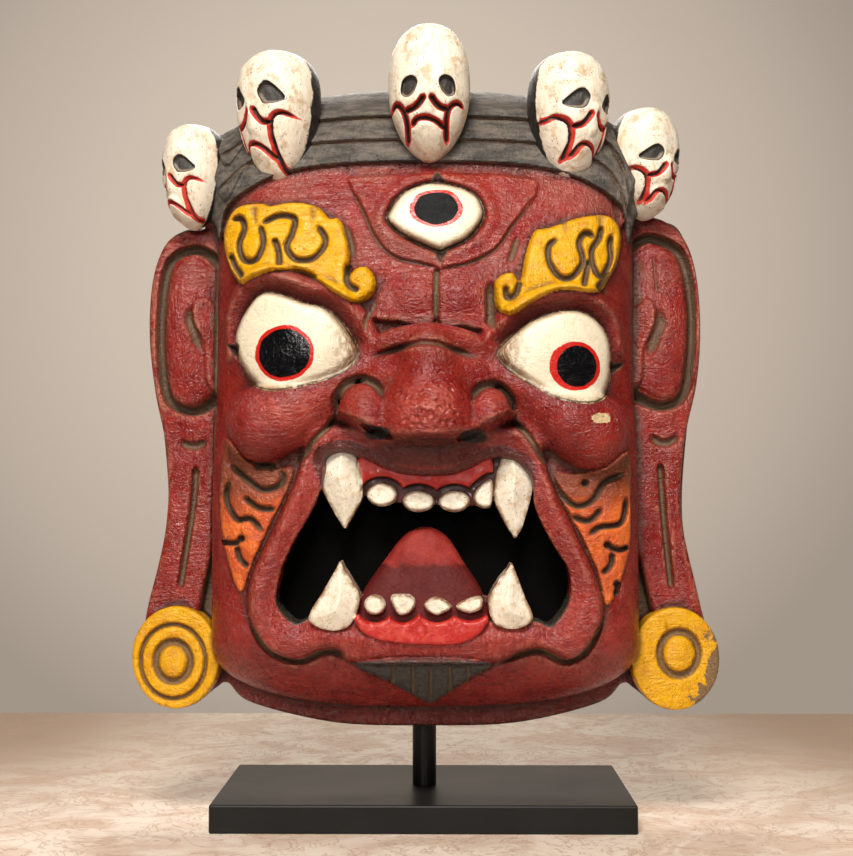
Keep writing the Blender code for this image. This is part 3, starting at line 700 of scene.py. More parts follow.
def add_lids(grid, relief, eyes):
    """The relief with a rounded lid over the upper half of each large eye."""
    for depth, line in zip(eyes, LIDS):
        over = grid.depth_in(line, reach=20)
        lid = np.interp(-depth, LID_DISTANCES, LID_HEIGHTS)
        relief = relief + lid * ease(over, -3, 5)
    return relief


def face_relief(grid, eyes, lips, mouth):
    """Broad forms of the face: eyes, pads between the brows, lips, chin and cheekbones."""
    relief = add_eyeballs(grid, lumps(grid, 34, 3, 0.9) + lumps(grid, 13, 5, 0.35), eyes)
    brow_pad = grid.depth_in([*FOREHEAD_LINES[0], *FOREHEAD_LINES[1][::-1], (60, 415), (-38, 415)])
    relief = add_lids(grid, relief + 2.6 * ease(brow_pad, -0.5, 1.5), eyes)
    for pad in BRIDGE_PADS:
        relief = relief + 5 * round_edge(grid.depth_in(pad), 2.5) * ease(-grid.face_z, -350, -326)
    for side, x in ((-1, -4), (1, 21)):
        relief = relief + bulge(grid, (x, 343), (18, 20), 5, side * 20)
        relief = relief + bulge(grid, (x + side * 34, 358), (30, 34), 4, side * 30)
    relief = relief + 13 * round_edge(lips, 6) - 5 * ease(mouth, -12, 0)
    for spot, radii in (((-60, 96), (60, 22)), ((66, 97), (60, 22)),
                        ((-96, 352), (40, 30)), ((98, 346), (38, 30))):
        relief = relief + bulge(grid, spot, radii, 5)
    return relief


def carve_nose(grid):
    """Blunt nose with wide wings, whose underside slopes back from a curved front edge."""
    nose = Grid((-70, 225, 60), (76, 320, 148), grid.steps)
    for middle, radii, lean, blend in (
            ((4, 292, 98), (19, 26, 26), 0, 0), ((4, 284, 90), (46, 25, 22), 0, 6),
            ((4, 260, 103), (31, 30, 32), 0, 8), ((2, 255, 98), (50, 24, 29), 0, 8),
            ((-33, 259.5, 100), (19, 23, 27), 14, 2), ((39, 257.5, 100), (18, 23, 27), -12, 2)):
        nose.ball(middle, radii, lean=lean, blend=blend)
    under = nose.z - (249.3 + 19 * ((nose.x - 2) / 52) ** 2) + (133 - nose.out) * 0.28
    nose.field = soft_min(nose.field, under, 0.6)
    for x, z, lean in ((-27, 251, -24), (31, 249, 16)):
        nose.ball((x, z, 113), (11, 4.6, 12), lean=lean, blend=0.5, cut=True)
    part = grid.window(nose.low, [axis[-1] for axis in nose.axes])
    points = np.stack(np.meshgrid(*[axis[cut] for axis, cut in zip(grid.axes, part)], indexing="ij"), axis=-1)
    values = nose.sample(nose.field, points.reshape(-1, 3)).reshape(points.shape[:3])
    grid.join(part, values, 2.5)


def carve_features(grid):
    """Nose, cheeks and folds, which stand out from the block."""
    rolls = [
        ([(-37, 299, 92, 6), (-20, 307, 99, 7), (4, 310, 103, 7.5), (26, 307, 99, 7), (46, 299, 92, 6)], 4),
        ([(-22, 303, 92, 6), (-42, 288, 95, 8), (-58, 278, 93, 13), (-82, 264, 88, 23),
          (-98, 257, 85, 24.5)], 4),
        ([(32, 300, 92, 6), (50, 286, 95, 8), (66, 276, 93, 13), (89, 261, 88, 23), (104, 252, 84, 24.5)], 4),
        ([(-57, 268, 92, 6), (-61, 256, 93, 7), (-63, 246, 94, 8)], 6),
        ([(60, 266, 92, 6), (65, 255, 93, 7), (67, 245, 94, 8)], 6)]
    for points, blend in rolls:
        grid.roll(points, blend)
    grid.ball((-66, 243, 104), (3.4, 3.2, 3.4), blend=1.5)
    grid.ball((4, 238, 90), (36, 12, 12), blend=6)
    carve_nose(grid)


def ear_front(grid, ear):
    """Height of an ear's face, the grime in its cuts, and the grime between it and the head."""
    cuts = Marks(grid)
    x, z = grid.face_x * ear.side, grid.face_z
    front = 29 + lumps(grid, 18, 9, 0.8)
    inside = grid.depth_in(ear.shell)
    front = front + 2.5 * round_edge(inside, 5) + bulge(grid, (ear.side * 156, 318), (22, 62), 7)
    cuts.line(ear.channel, 7.2, 8, fade=0.03, sharp=3, grime=0.82)
    front = front + 3 * round_edge(grid.depth_in(ear.lobe), 3)
    for points, width, depth in ear.folds:
        cuts.line(points, width, depth, fade=0.3, grime=0.62)
    edge = [(ear.side * across, up) for across, up in ((135.6, 386), (136, 300), (137.5, 235), (138.5, 160))]
    cuts.line(edge, 3, 3, fade=0.05, grime=0.8)
    cuts.line(ear.slit, 4.6, 5, fade=0.04, sharp=3, grime=0.7)
    between = ease(153 - x, 0, 2) * ease(x, 134, 136) * ease(z, 112, 118) * ease(-z, -215, -195)
    return front - cuts.cut, cuts.grime, 0.7 * between


def add_ears(grid, marks):
    for ear in EARS:
        inside = grid.depth_in(ear.outline, reach=40)
        height, grime, beside = ear_front(grid, ear)
        slab(grid, inside, height, 5)
        marks.grime = np.maximum(marks.grime, grime * (inside > 0))
        marks.grime = np.maximum(marks.grime, beside * (inside < 0.5) * (head_radius(grid) > 1))


def earring_front(grid, earring):
    """Height of an earring's face, with its ring grooves and knob, and the grime in the grooves."""
    x = grid.face_x - (earring.middle[0] + earring.rings_off[0])
    z = grid.face_z - (earring.middle[1] + earring.rings_off[1])
    gap = np.hypot(x, z * 0.9)
    front = 38 + earring.lean * x + lumps(grid, 8, 41, 0.5)
    grime = np.zeros(grid.flat)
    for radius, width in earring.rings:
        across = np.abs(gap - radius) / (width / 2)
        front = front - 4 * (np.clip(1 - across, 0, 1) ** 0.4)
        grime = np.maximum(grime, 0.6 * ease(1.3 - across, 0, 0.5))
    front = front + 2.5 * np.sqrt(np.clip(1 - (gap / earring.knob) ** 2, 0, 1))
    return front, grime


def add_earrings(grid, marks):
    """Carve the earrings; the result is how far each point of the face is inside one."""
    gold = np.full(grid.flat, -40.0)
    for earring in EARRINGS:
        (across, up), half = earring.middle, earring.half
        size = np.sqrt(((grid.face_x - across) / half[0]) ** 2 + ((grid.face_z - up) / half[1]) ** 2)
        depth = (1 - size) * half[0]
        height, grime = earring_front(grid, earring)
        slab(grid, depth, height, 2.5)
        marks.grime = np.maximum(marks.grime * (depth < -1), grime * (depth > 0))
        gold = np.maximum(gold, depth)
    return gold


def cut_face(grid, third_eye):
    """All cuts into the face."""
    marks = Marks(grid)
    for line in LEFT_BROW_CUTS + RIGHT_BROW_CUTS:
        marks.line(line, 4.8, 4.4, fade=0.06, grime=0.85)
    for line in LEFT_BROW_WEDGES + RIGHT_BROW_WEDGES:
        marks.wedge(line, 7, 2, grime=0.5)
    for line in FLAME_CUTS:
        marks.line(line, 4.7, 4, fade=0.15, grime=0.9)
    for spot in FLAME_HOLES:
        marks.hole(spot, 2.2, 4)
    for line in BEARD_RIBS:
        marks.line(line, 2.4, 1.6, fade=0.1)
    for line in LIP_EDGES:
        marks.line(line, 5.5, 3.4, fade=0.15, grime=0.66)
    for line in FOREHEAD_LINES[:2]:
        marks.line(line, 3.2, 1.2, fade=0.12, grime=0.55)
    for line in FOREHEAD_LINES[2:]:
        marks.line(line, 5.5, 2.4, fade=0.3, grime=0.62)
    for cut in FACE_CUTS:
        marks.line(*cut)
    for wedge in FACE_WEDGES:
        marks.wedge(*wedge)
    apart = ease(-third_eye, 0, 1)
    marks.cut, marks.grime = marks.cut * apart, marks.grime * apart
    for line in BAND_LINES:
        marks.line(line, 2.2, 1.5, fade=0.02)
    for cut in NOSE_CUTS:
        marks.line(*cut)
    return marks


def raise_fields(grid, brow, flame, band, beard, cuts):
    """Raise the painted fields of the face, with the band's strips one over another, and cut it."""
    front = (grid.out > 20).astype(np.float32)
    raised = 7.5 * round_edge(brow, 3.5) + 2.4 * round_edge(flame, 1.5) + 3.2 * round_edge(band, 1.2)
    raised = raised + 6 * round_edge(beard, 4)
    strips = np.zeros(grid.flat)
    for line in BAND_LINES:
        above = grid.depth_in([*line, (160, 560), (-160, 560)], reach=30)
        strips = strips + 1.6 * ease(above, -0.5, 0.5) * np.clip(1 - above / 18, 0, 1)
    grid.field += (raised + strips - cuts).astype(np.float32)[:, :, None] * front


def open_mouth(grid, mouth):
    """Cut the mouth through, narrower or wider towards the back."""
    inward = ease(grid.out, 110, 88)
    taper = np.interp(grid.z, WALL_LEVELS, WALL_LEANS)
    hole = mouth[:, :, None] - inward * taper
    deep = grid.window((0, 0, 55), (0, 0, 150))[2]
    grid.field[:, :, deep] = soft_min(grid.field[:, :, deep], -hole[:, :, deep], 2)


def cut_hollow(grid):
    """Hew the hollow for the head and flatten the back; the result is how far a point is in the hollow."""
    hollow = np.abs(grid.x / HOLLOW_HALF_WIDTH) ** 4
    hollow = hollow + np.abs((grid.z - HOLLOW_LEVEL) / HOLLOW_HALF_HEIGHT) ** 4
    hollow = hollow + (grid.out / (HOLLOW_FRONT * forehead_lean(grid))) ** 4
    hollow = (1 - hollow ** 0.25) * HOLLOW_FRONT + lumps(grid, 11, 21, 1.2)[:, :, None]
    hollow = hollow + lumps(grid, 5, 23, 0.4)[:, :, None]
    grid.field = soft_min(grid.field, -hollow, 3)
    back = grid.out + lumps(grid, 20, 31, 0.2)[:, :, None]
    grid.field = soft_min(grid.field, back, 2).astype(np.float32)
    return hollow


def carve_mask():
    grid = Grid(MASK_LOW, MASK_HIGH, (STEP, STEP, OUT_STEP))
    eyes = [grid.depth_in(outline) for outline in (LEFT_EYE, RIGHT_EYE, THIRD_EYE)]
    mouth, lips = grid.depth_in(MOUTH, reach=30), grid.depth_in(LIPS)
    head_block(grid, face_relief(grid, eyes, lips, mouth))
    carve_features(grid)

    brow = np.maximum(grid.depth_in(LEFT_BROW), grid.depth_in(RIGHT_BROW))
    flame = np.maximum(grid.depth_in(LEFT_FLAME), grid.depth_in(RIGHT_FLAME))
    band, beard = grid.depth_in(BAND, reach=60), grid.depth_in(BEARD)
    marks = cut_face(grid, eyes[2])
    raise_fields(grid, brow, flame, band, beard, marks.cut)

    slab(grid, grid.depth_in(PLATE, reach=40), 14 + lumps(grid, 25, 11, 0.5), 4)
    add_ears(grid, marks)
    gold = add_earrings(grid, marks)
    for skull in SKULLS:
        inner = 0.93 if abs(skull.turn) > 41 else 0.97
        grid.ball((skull.across * inner, skull.level - 8, skull.out - 14),
                  (skull.half_width * 0.8, skull.above, 17), blend=3)
    open_mouth(grid, mouth)
    hollow = cut_hollow(grid)

    item, points = carve_out("mask_carving", grid, MASK_TRIANGLES, face_to_world)
    for name, depth in (("brow", brow), ("flame_patch", flame), ("band", band), ("beard", beard),
                        ("eye", np.maximum.reduce(eyes)), ("lips", lips), ("gold", gold), ("mouth", mouth)):
        add_values(item, name, edge_share(grid.sample_flat(depth, points)))
    add_values(item, "grime", grid.sample_flat(marks.grime, points))
    add_values(item, "hollow_in", edge_share(grid.sample(hollow.astype(np.float32), points)))
    add_values(item, "out", points[:, 2] / MASK_HIGH[2])
    for name, radius in (("crease", 3.5), ("shade", 11)):
        add_values(item, name, grid.sample(grid.fullness(radius), points))
    return item


# ---------------------------------------------------------------- skulls

def skull_block(grid, skull):
    """Dome and jaw of a skull, round in front and flatter at its sides."""
    z = np.where(grid.z > 0, grid.z / skull.above * PATTERN_CROWN, grid.z / skull.below * PATTERN_CHIN)
    foot = PATTERN_CHIN + 4
    dome = np.clip((z - SKULL_WIDEST) / (PATTERN_CROWN - SKULL_WIDEST), 0, 1)
    jaw = np.clip((SKULL_WIDEST - z) / (foot + SKULL_WIDEST), 0, 1)
    half = skull.half_width * (1 - dome ** DOME_POWER) ** (1 / DOME_POWER) * (1 - jaw ** 2) ** JAW_FULLNESS
    half = np.maximum(half, 0.2)
    depth = half * 0.92 + 3 * ease(grid.z, -46, -20)
    shape = (np.abs(grid.x / half) ** 2.2 + np.abs(grid.out / depth) ** 2.2) ** (1 / 2.2)
    end = np.minimum(z + foot, PATTERN_CROWN + 0.3 - z)
    grid.field = np.minimum((1 - shape) * half, end).astype(np.float32)


def mirror(ring):
    return [(-x, y) for x, y in ring]


def skull_sockets(grid, skull, scale):
    """How far each point of a skull's face is inside an eye socket."""
    if skull.turn:
        ring = TURNED_SOCKET if skull.turn < 0 else mirror(TURNED_SOCKET)
        eyes = ((-12.8, 0), ring), ((12.8, 0), ring)
    else:
        eyes = ((-12.4, -0.3), FRONT_SOCKET), ((11.2, -0.2), mirror(FRONT_SOCKET))
    sockets = np.full(grid.flat, -20.0)
    for (x, y), ring in eyes:
        narrow = 0.85 if skull.turn * x > 0 else 1
        ring = [(scale * x + skull.socket[0] * u * narrow, y + skull.socket[1] * v) for u, v in ring]
        sockets = np.maximum(sockets, grid.depth_in(ring, reach=15))
    return sockets


def skull_cuts(grid, skull, scale, down):
    """The cuts of a skull's face. On a turned skull they sag, and the outer ones reach further."""
    sag, reach, wide = (0.6, 1.1, 0.92) if skull.turn else (0, 1, 1)
    marks = Marks(grid)
    for line, size, deep in SKULL_CUTS:
        line = [(x * scale * (reach if abs(x) > 20 else 1), y * down - sag * max(-y - 14, 0) * (abs(x) < 12))
                for x, y in line]
        marks.line(line, size * scale * wide, deep * scale, fade=0.1, sharp=1.5)
    return marks


def carve_skull(number, skull):
    grid = Grid((-34, -58, -32), (34, 50, 38), (SMALL_STEP, SMALL_STEP, SMALL_STEP))
    skull_block(grid, skull)
    scale, down = skull.half_width / PATTERN_HALF_WIDTH, skull.below / PATTERN_CHIN
    sockets = skull_sockets(grid, skull, scale)
    marks = skull_cuts(grid, skull, scale, down)
    nose, _ = grid.along([(-0.5, -6 * down), (-0.8, -14 * down), (-1, -18 * down)], reach=9)
    chin, _ = grid.along([(-2, -33 * down), (1, -39 * down)], reach=14)
    relief = 1.6 * ease(5.5 - nose, 0, 5) + 1.8 * ease(10 - chin, 0, 5)
    relief = relief - 3.0 * scale * ease(sockets, -0.3, 1.6) + lumps(grid, 9, 50 + number, 0.5)
    relief = relief + lumps(grid, 4.5, 60 + number, 0.18)
    grid.field += ((relief - marks.cut)[:, :, None] * ease(grid.out, 3, 12)).astype(np.float32)

    angle = math.radians(skull.turn)
    middle = np.array([skull.across, skull.level, skull.out])

    def to_world(points, direction):
        x = points[:, 0] * math.cos(angle) + points[:, 2] * math.sin(angle)
        out = points[:, 2] * math.cos(angle) - points[:, 0] * math.sin(angle)
        turned = np.stack([x, points[:, 1], out], axis=1)
        return face_to_world(turned if direction else turned + middle, direction)

    item, points = carve_out(f"skull_{number + 1}", grid, SKULL_TRIANGLES, to_world)
    ahead = points[:, 2] > -2
    add_values(item, "socket", edge_share(grid.sample_flat(sockets, points)))
    add_values(item, "grime", grid.sample_flat(marks.grime, points) * ahead)
    add_values(item, "cut", grid.sample_flat(marks.cut, points) / 5 * ahead)
    add_values(item, "ahead", points[:, 2] / (2 * skull.half_width) + 0.5)
    add_values(item, "facing_up", grid.slope(points)[:, 1] / 2 + 0.5)
    add_values(item, "crease", grid.sample(grid.fullness(2.4), points))
    return item


# ---------------------------------------------------------------- teeth and tongue

def carve_teeth(name, low, high, teeth, fangs, gum, bed, levels):
    """One jaw: small teeth in scallops of the gum, faceted fangs, and the bed they stand in.

    levels are how far out the bed, the gum, the teeth's edges and the fangs' edges are."""
    grid = Grid(low, high, (SMALL_STEP, SMALL_STEP, SMALL_STEP))
    tooth = np.maximum.reduce([grid.depth_in(outline, reach=14) for outline in teeth])
    fang = np.maximum.reduce([grid.depth_in(outline, reach=24) for outline in fangs])
    flesh = np.minimum(grid.depth_in(gum, reach=14), -tooth - 4.2)
    beds = np.minimum(grid.depth_in(bed, reach=14), 4)
    rough = lumps(grid, 5, 7, 0.5)
    parts = [
        (beds, levels[0] + rough),
        (flesh, levels[1] + 3 * round_edge(flesh, 2.5) + rough),
        (tooth, levels[2] + 5 * round_edge(tooth, 2.6) + 1.5 * rough),
        (fang, levels[3] + 0.62 * np.minimum(fang, 16) + 0.8 * rough)]
    for depth, front in parts:
        body = np.minimum(np.minimum(front[:, :, None] - grid.out, depth[:, :, None] * 1.2),
                          grid.out - low[2] - 3)
        grid.field = np.maximum(grid.field, body).astype(np.float32)
    item, points = carve_out(name, grid, JAW_TRIANGLES, face_to_world)
    for label, depth in (("tooth", np.maximum(tooth, fang)), ("gum", flesh)):
        add_values(item, label, edge_share(grid.sample_flat(depth, points)))
    add_values(item, "crease", grid.sample(grid.fullness(2.4), points))
    return item


def oval(middle, radii):
    """A rounded tooth, as eight points round an ellipse."""
    return arc(middle, radii, 0, 315, 7)


def carve_upper_teeth():
    return carve_teeth(
        "upper_teeth", (-72, 180, 70), (78, 250, 118),
        [oval((-25, 213), (9.5, 7.2)), oval((-2.5, 209), (10, 6.6)), oval((19.5, 209), (9.8, 6.6)),
         [(31, 212), (36, 219), (43, 222), (42, 206), (34, 206)]],
        [[(-49, 246), (-58, 239), (-64, 223), (-55, 203), (-50, 195), (-48, 192), (-46, 195), (-41, 204),
          (-37, 213), (-38, 228), (-43, 240)],
         [(54, 244), (63, 236), (68, 219), (62, 195), (59, 189), (57, 186), (55, 189), (50, 197),
          (44, 212), (47, 231)]],
        [(-38, 213), (-35, 246), (0, 246), (38, 246), (43, 236), (42, 222), (30, 213), (9, 212), (-13, 213)],
        [(-64, 228), (-60, 250), (66, 250), (68, 226), (45, 210), (28, 206), (9, 207), (-13, 208),
         (-35, 212)],
        (84, 89, 88, 88))


def carve_lower_teeth():
    return carve_teeth(
        "lower_teeth", (-76, 114, 74), (76, 178, 120),
        [oval((-29, 146), (6.8, 6.2)),
         [(-19, 152), (-7, 152), (-4, 147), (-8, 141), (-14, 140), (-18, 145)],
         [(1, 147), (9, 151), (18, 145), (10, 140), (3, 142)],
         [(20, 145), (28, 150), (36, 151), (36, 144), (28, 141)]],
        [[(-52, 169), (-50, 173), (-48, 169), (-43, 161), (-38, 150), (-44, 134), (-57, 131), (-69, 138),
          (-60, 155)],
         [(56, 168), (54, 172), (52, 168), (46, 161), (40, 148), (44, 135), (57, 132), (67, 138), (62, 152)]],
        [(-40, 134), (-30, 126), (-14, 123), (5, 122), (24, 123), (37, 131), (37, 141), (-2, 142),
         (-38, 141)],
        [(-70, 120), (-68, 136), (-40, 142), (-38, 152), (36, 152), (39, 142), (68, 136), (70, 120)],
        (86, 99, 96, 100))


def carve_tongue():
    grid = Grid((-46, 118, 55), (46, 202, 105), (TONGUE_STEP, TONGUE_STEP, TONGUE_STEP))
    edge = [(-40, 126), (-39, 149), (-22, 175), (-10, 189), (3, 193), (15, 187), (25, 172), (38, 150),
            (38, 126)]
    depth = grid.depth_in(edge, reach=30)
    front = 77 + 9 * ease(-grid.face_z, -185, -135) + 8 * round_edge(depth, 14)
    front = front + lumps(grid, 9, 71, 0.6)
    grid.field = np.minimum(soft_min(front[:, :, None] - grid.out, depth[:, :, None], 3),
                            grid.out - 66).astype(np.float32)
    item, points = carve_out("tongue", grid, TONGUE_TRIANGLES, face_to_world)
    add_values(item, "crease", grid.sample(grid.fullness(3), points))
    return item


# ---------------------------------------------------------------- cloth

CLOTH_COLUMNS, CLOTH_ROWS = 60, 44
CLOTH_THICKNESS, CLOTH_SHOULDER = 0.9, 12


def weave_cloth():
    """Black cloth stretched behind the mouth and glued round its edge, with rounded lower corners."""
    low, high = (Vector(corner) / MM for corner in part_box("mouth_cloth"))
    half = (high.x - low.x) / 2
    level = high.z - CLOTH_SHOULDER
    drop = level - low.z
    corners = []
    for side in (0, 1):
        for row in range(CLOTH_ROWS + 1):
            up = high.z - (high.z - low.z) * row / CLOTH_ROWS
            below = max(level - up, 0) / drop
            wide = half * max(1 - below ** 4, 0) ** 0.25
            wide = max(wide, half * 0.5) if row == CLOTH_ROWS else wide
            for column in range(CLOTH_COLUMNS + 1):
                share = column / CLOTH_COLUMNS * 2 - 1
                corners.append((share * wide, low.y + 0.15 + side * CLOTH_THICKNESS, up))
    number = np.arange((CLOTH_ROWS + 1) * (CLOTH_COLUMNS + 1)).reshape(CLOTH_ROWS + 1, CLOTH_COLUMNS + 1)
    other = number.size
    faces = []
    for row in range(CLOTH_ROWS):
        for column in range(CLOTH_COLUMNS):
            (a, b), (d, c) = number[row:row + 2, column:column + 2]
            faces.append((a, d, c, b))
            faces.append((other + a, other + b, other + c, other + d))
    rim = [*number[0], *number[1:, -1], *number[-1, -2::-1], *number[-2:0:-1, 0]]
    for first, second in zip(rim, rim[1:] + rim[:1]):
        faces.append((first, second, other + second, other + first))
    item = as_mesh("mouth_cloth_weave", np.array(corners) * MM, np.array(faces))
    item.data.shade_smooth()
    return item


# ---------------------------------------------------------------- finishes

class Value:
    """A number that varies over a surface, with arithmetic on it."""

    def __init__(self, finish, socket):
        self.finish, self.socket = finish, socket

    def math(self, operation, first, second):
        return self.finish.node("ShaderNodeMath", {"operation": operation}, {0: first, 1: second})

    def __add__(self, other):
        return self.math("ADD", self, other)

    def __sub__(self, other):
        return self.math("SUBTRACT", self, other)

    def __rsub__(self, other):
        return self.math("SUBTRACT", other, self)

    def __mul__(self, other):
        return self.math("MULTIPLY", self, other)

    def __truediv__(self, other):
        return self.math("DIVIDE", self, other)

    def __pow__(self, other):
        return self.math("POWER", self, other)

    __radd__, __rmul__ = __add__, __mul__

    def at_least(self, other):
        return self.math("MAXIMUM", self, other)

    def size(self):
        """The value without its sign."""
        return self.at_least(0 - self)

    def ease(self, start, end):
        """0 at start, 1 at end, smooth between."""
        return self.finish.node("ShaderNodeMapRange", {"interpolation_type": "SMOOTHSTEP"},
                                {"Value": self, "From Min": start, "From Max": end})


class Finish:
    """A material, and the nodes that give its colour, gloss and texture."""

    def __init__(self, name):
        self.material = bpy.data.materials.new(name)
        self.material.use_nodes = True
        self.tree = self.material.node_tree
        self.shader = self.tree.nodes["Principled BSDF"]
        self.place = self.node("ShaderNodeTexCoord", output="Object")
        parts = self.node("ShaderNodeSeparateXYZ", {}, {"Vector": self.place})
        self.across, self.back, self.up = (Value(self, axis) for axis in parts.socket.node.outputs)

    def node(self, kind, settings=None, inputs=None, output=0):
        made = self.tree.nodes.new(kind)
        for key, value in (settings or {}).items():
            if key == "stops":
                self.set_stops(made.color_ramp, value)
            else:
                setattr(made, key, value)
        for key, value in (inputs or {}).items():
            self.feed(made.inputs[key], value)
        return Value(self, made.outputs[output])

    def feed(self, socket, value):
        if isinstance(value, Value):
            self.tree.links.new(value.socket, socket)
        elif isinstance(value, tuple) and socket.type == "RGBA":
            socket.default_value = (*value, 1)
        else:
            socket.default_value = value

    def set_stops(self, ramp, stops):
        while len(ramp.elements) < len(stops):
            ramp.elements.new(1)
        for element, (position, colour) in zip(ramp.elements, stops):
            element.position = position
            element.color = (*colour, 1)

    def mask(self, name):
        """A value stored on the piece's corners."""
        return self.node("ShaderNodeAttribute", {"attribute_name": name}, output="Fac")

    def noise(self, size, detail=3.0, rough=0.55, stretch=(1, 1, 1), twist=0.0, shift=0.0):
        """Soft spots about size mm across; stretch draws them out along an axis."""
        place = self.node("ShaderNodeMapping", {}, {
            "Vector": self.place, "Scale": tuple(1 / s for s in stretch), "Location": (shift, shift, shift)})
        return self.node("ShaderNodeTexNoise", {}, {
            "Vector": place, "Scale": 1000 / size, "Detail": detail, "Roughness": rough,
            "Distortion": twist})

    def cells(self, size):
        """Distance from the nearest of many scattered points, about size mm apart."""
        return self.node("ShaderNodeTexVoronoi", {"feature": "F1"},
                         {"Vector": self.place, "Scale": 1000 / size}, output="Distance")

    def specks(self, size, spread):
        """Small flaws about size mm across, in patches about spread mm across."""
        return (1 - self.cells(size)).ease(0.8, 0.88) * self.noise(spread, 2, shift=6).ease(0.5, 0.58)

    def mix(self, share, first, second):
        return self.node("ShaderNodeMix", {"data_type": "RGBA"}, {0: share, 6: first, 7: second}, output=2)

    def ramp(self, value, *stops):
        return self.node("ShaderNodeValToRGB", {"stops": stops}, {"Fac": value}, output="Color")

    def finish(self, colour, roughness, bump=None, height=0.3, **uniform):
        """The material, with its texture up to height mm deep and uniform values set on the shader."""
        self.feed(self.shader.inputs["Base Color"], colour)
        self.feed(self.shader.inputs["Roughness"], roughness)
        if bump is not None:
            rough = self.node("ShaderNodeBump", {}, {
                "Height": bump, "Distance": height * MM, "Strength": 1.0}, output="Normal")
            self.feed(self.shader.inputs["Normal"], rough)
        for name, value in uniform.items():
            self.feed(self.shader.inputs[name.replace("_", " ")], value)
        return self.material

    def disc(self, centre, radii):
        """How far a point is from a spot on the face, as a share of an ellipse's radius."""
        across = (self.across - centre[0] * MM) / (radii[0] * MM)
        up = (self.up - centre[1] * MM) / (radii[1] * MM)
        return (across * across + up * up) ** 0.5


def srgb(red, green, blue):
    """Linear colour from the usual 0 to 255 numbers."""
    return tuple((c / 12.92 if c <= 0.04045 else ((c + 0.055) / 1.055) ** 2.4)
                 for c in (red / 255, green / 255, blue / 255))


LACQUER, LACQUER_LIGHT, LACQUER_DARK = srgb(128, 22, 18), srgb(150, 40, 31), srgb(70, 14, 12)
# Pale worn lacquer, also laid on as a painted sheen and highlight.
LACQUER_WORN_AND_SHEEN = srgb(184, 82, 66)
MAROON = srgb(46, 16, 16)
YELLOW, YELLOW_DARK = srgb(234, 172, 0), srgb(204, 134, 0)
ORANGE, UMBER = srgb(228, 110, 42), srgb(132, 62, 38)
BONE, BONE_DARK, DIRT = srgb(250, 240, 220), srgb(222, 196, 152), srgb(84, 60, 36)
CHARCOAL, CHARCOAL_LIGHT = srgb(60, 57, 54), srgb(112, 102, 92)
# Near black for soot, specks and chips, and also for painted shade.
DUST, SOOT_AND_SHADE = srgb(132, 112, 90), srgb(24, 16, 12)
VERMILION = srgb(204, 36, 26)
EYE_BLACK = srgb(10, 10, 12)
RAW_WOOD, RAW_WOOD_DARK = srgb(148, 104, 62), srgb(84, 54, 32)


# The painted rings of the eyes: middle, half width and height of the red ring and of the black in
# it, and how much glossier the black is than the paint round it.
IRISES = [((-84, 299), (18.6, 17.2), (-84, 299), (16.4, 15), 1.0),
          ((93, 291), (16.2, 15.2), (94, 291), (12.6, 12.8), 1.0),
          ((8.5, 391), (17, 12.8), (8.5, 391), (13.9, 11), -2.8)]


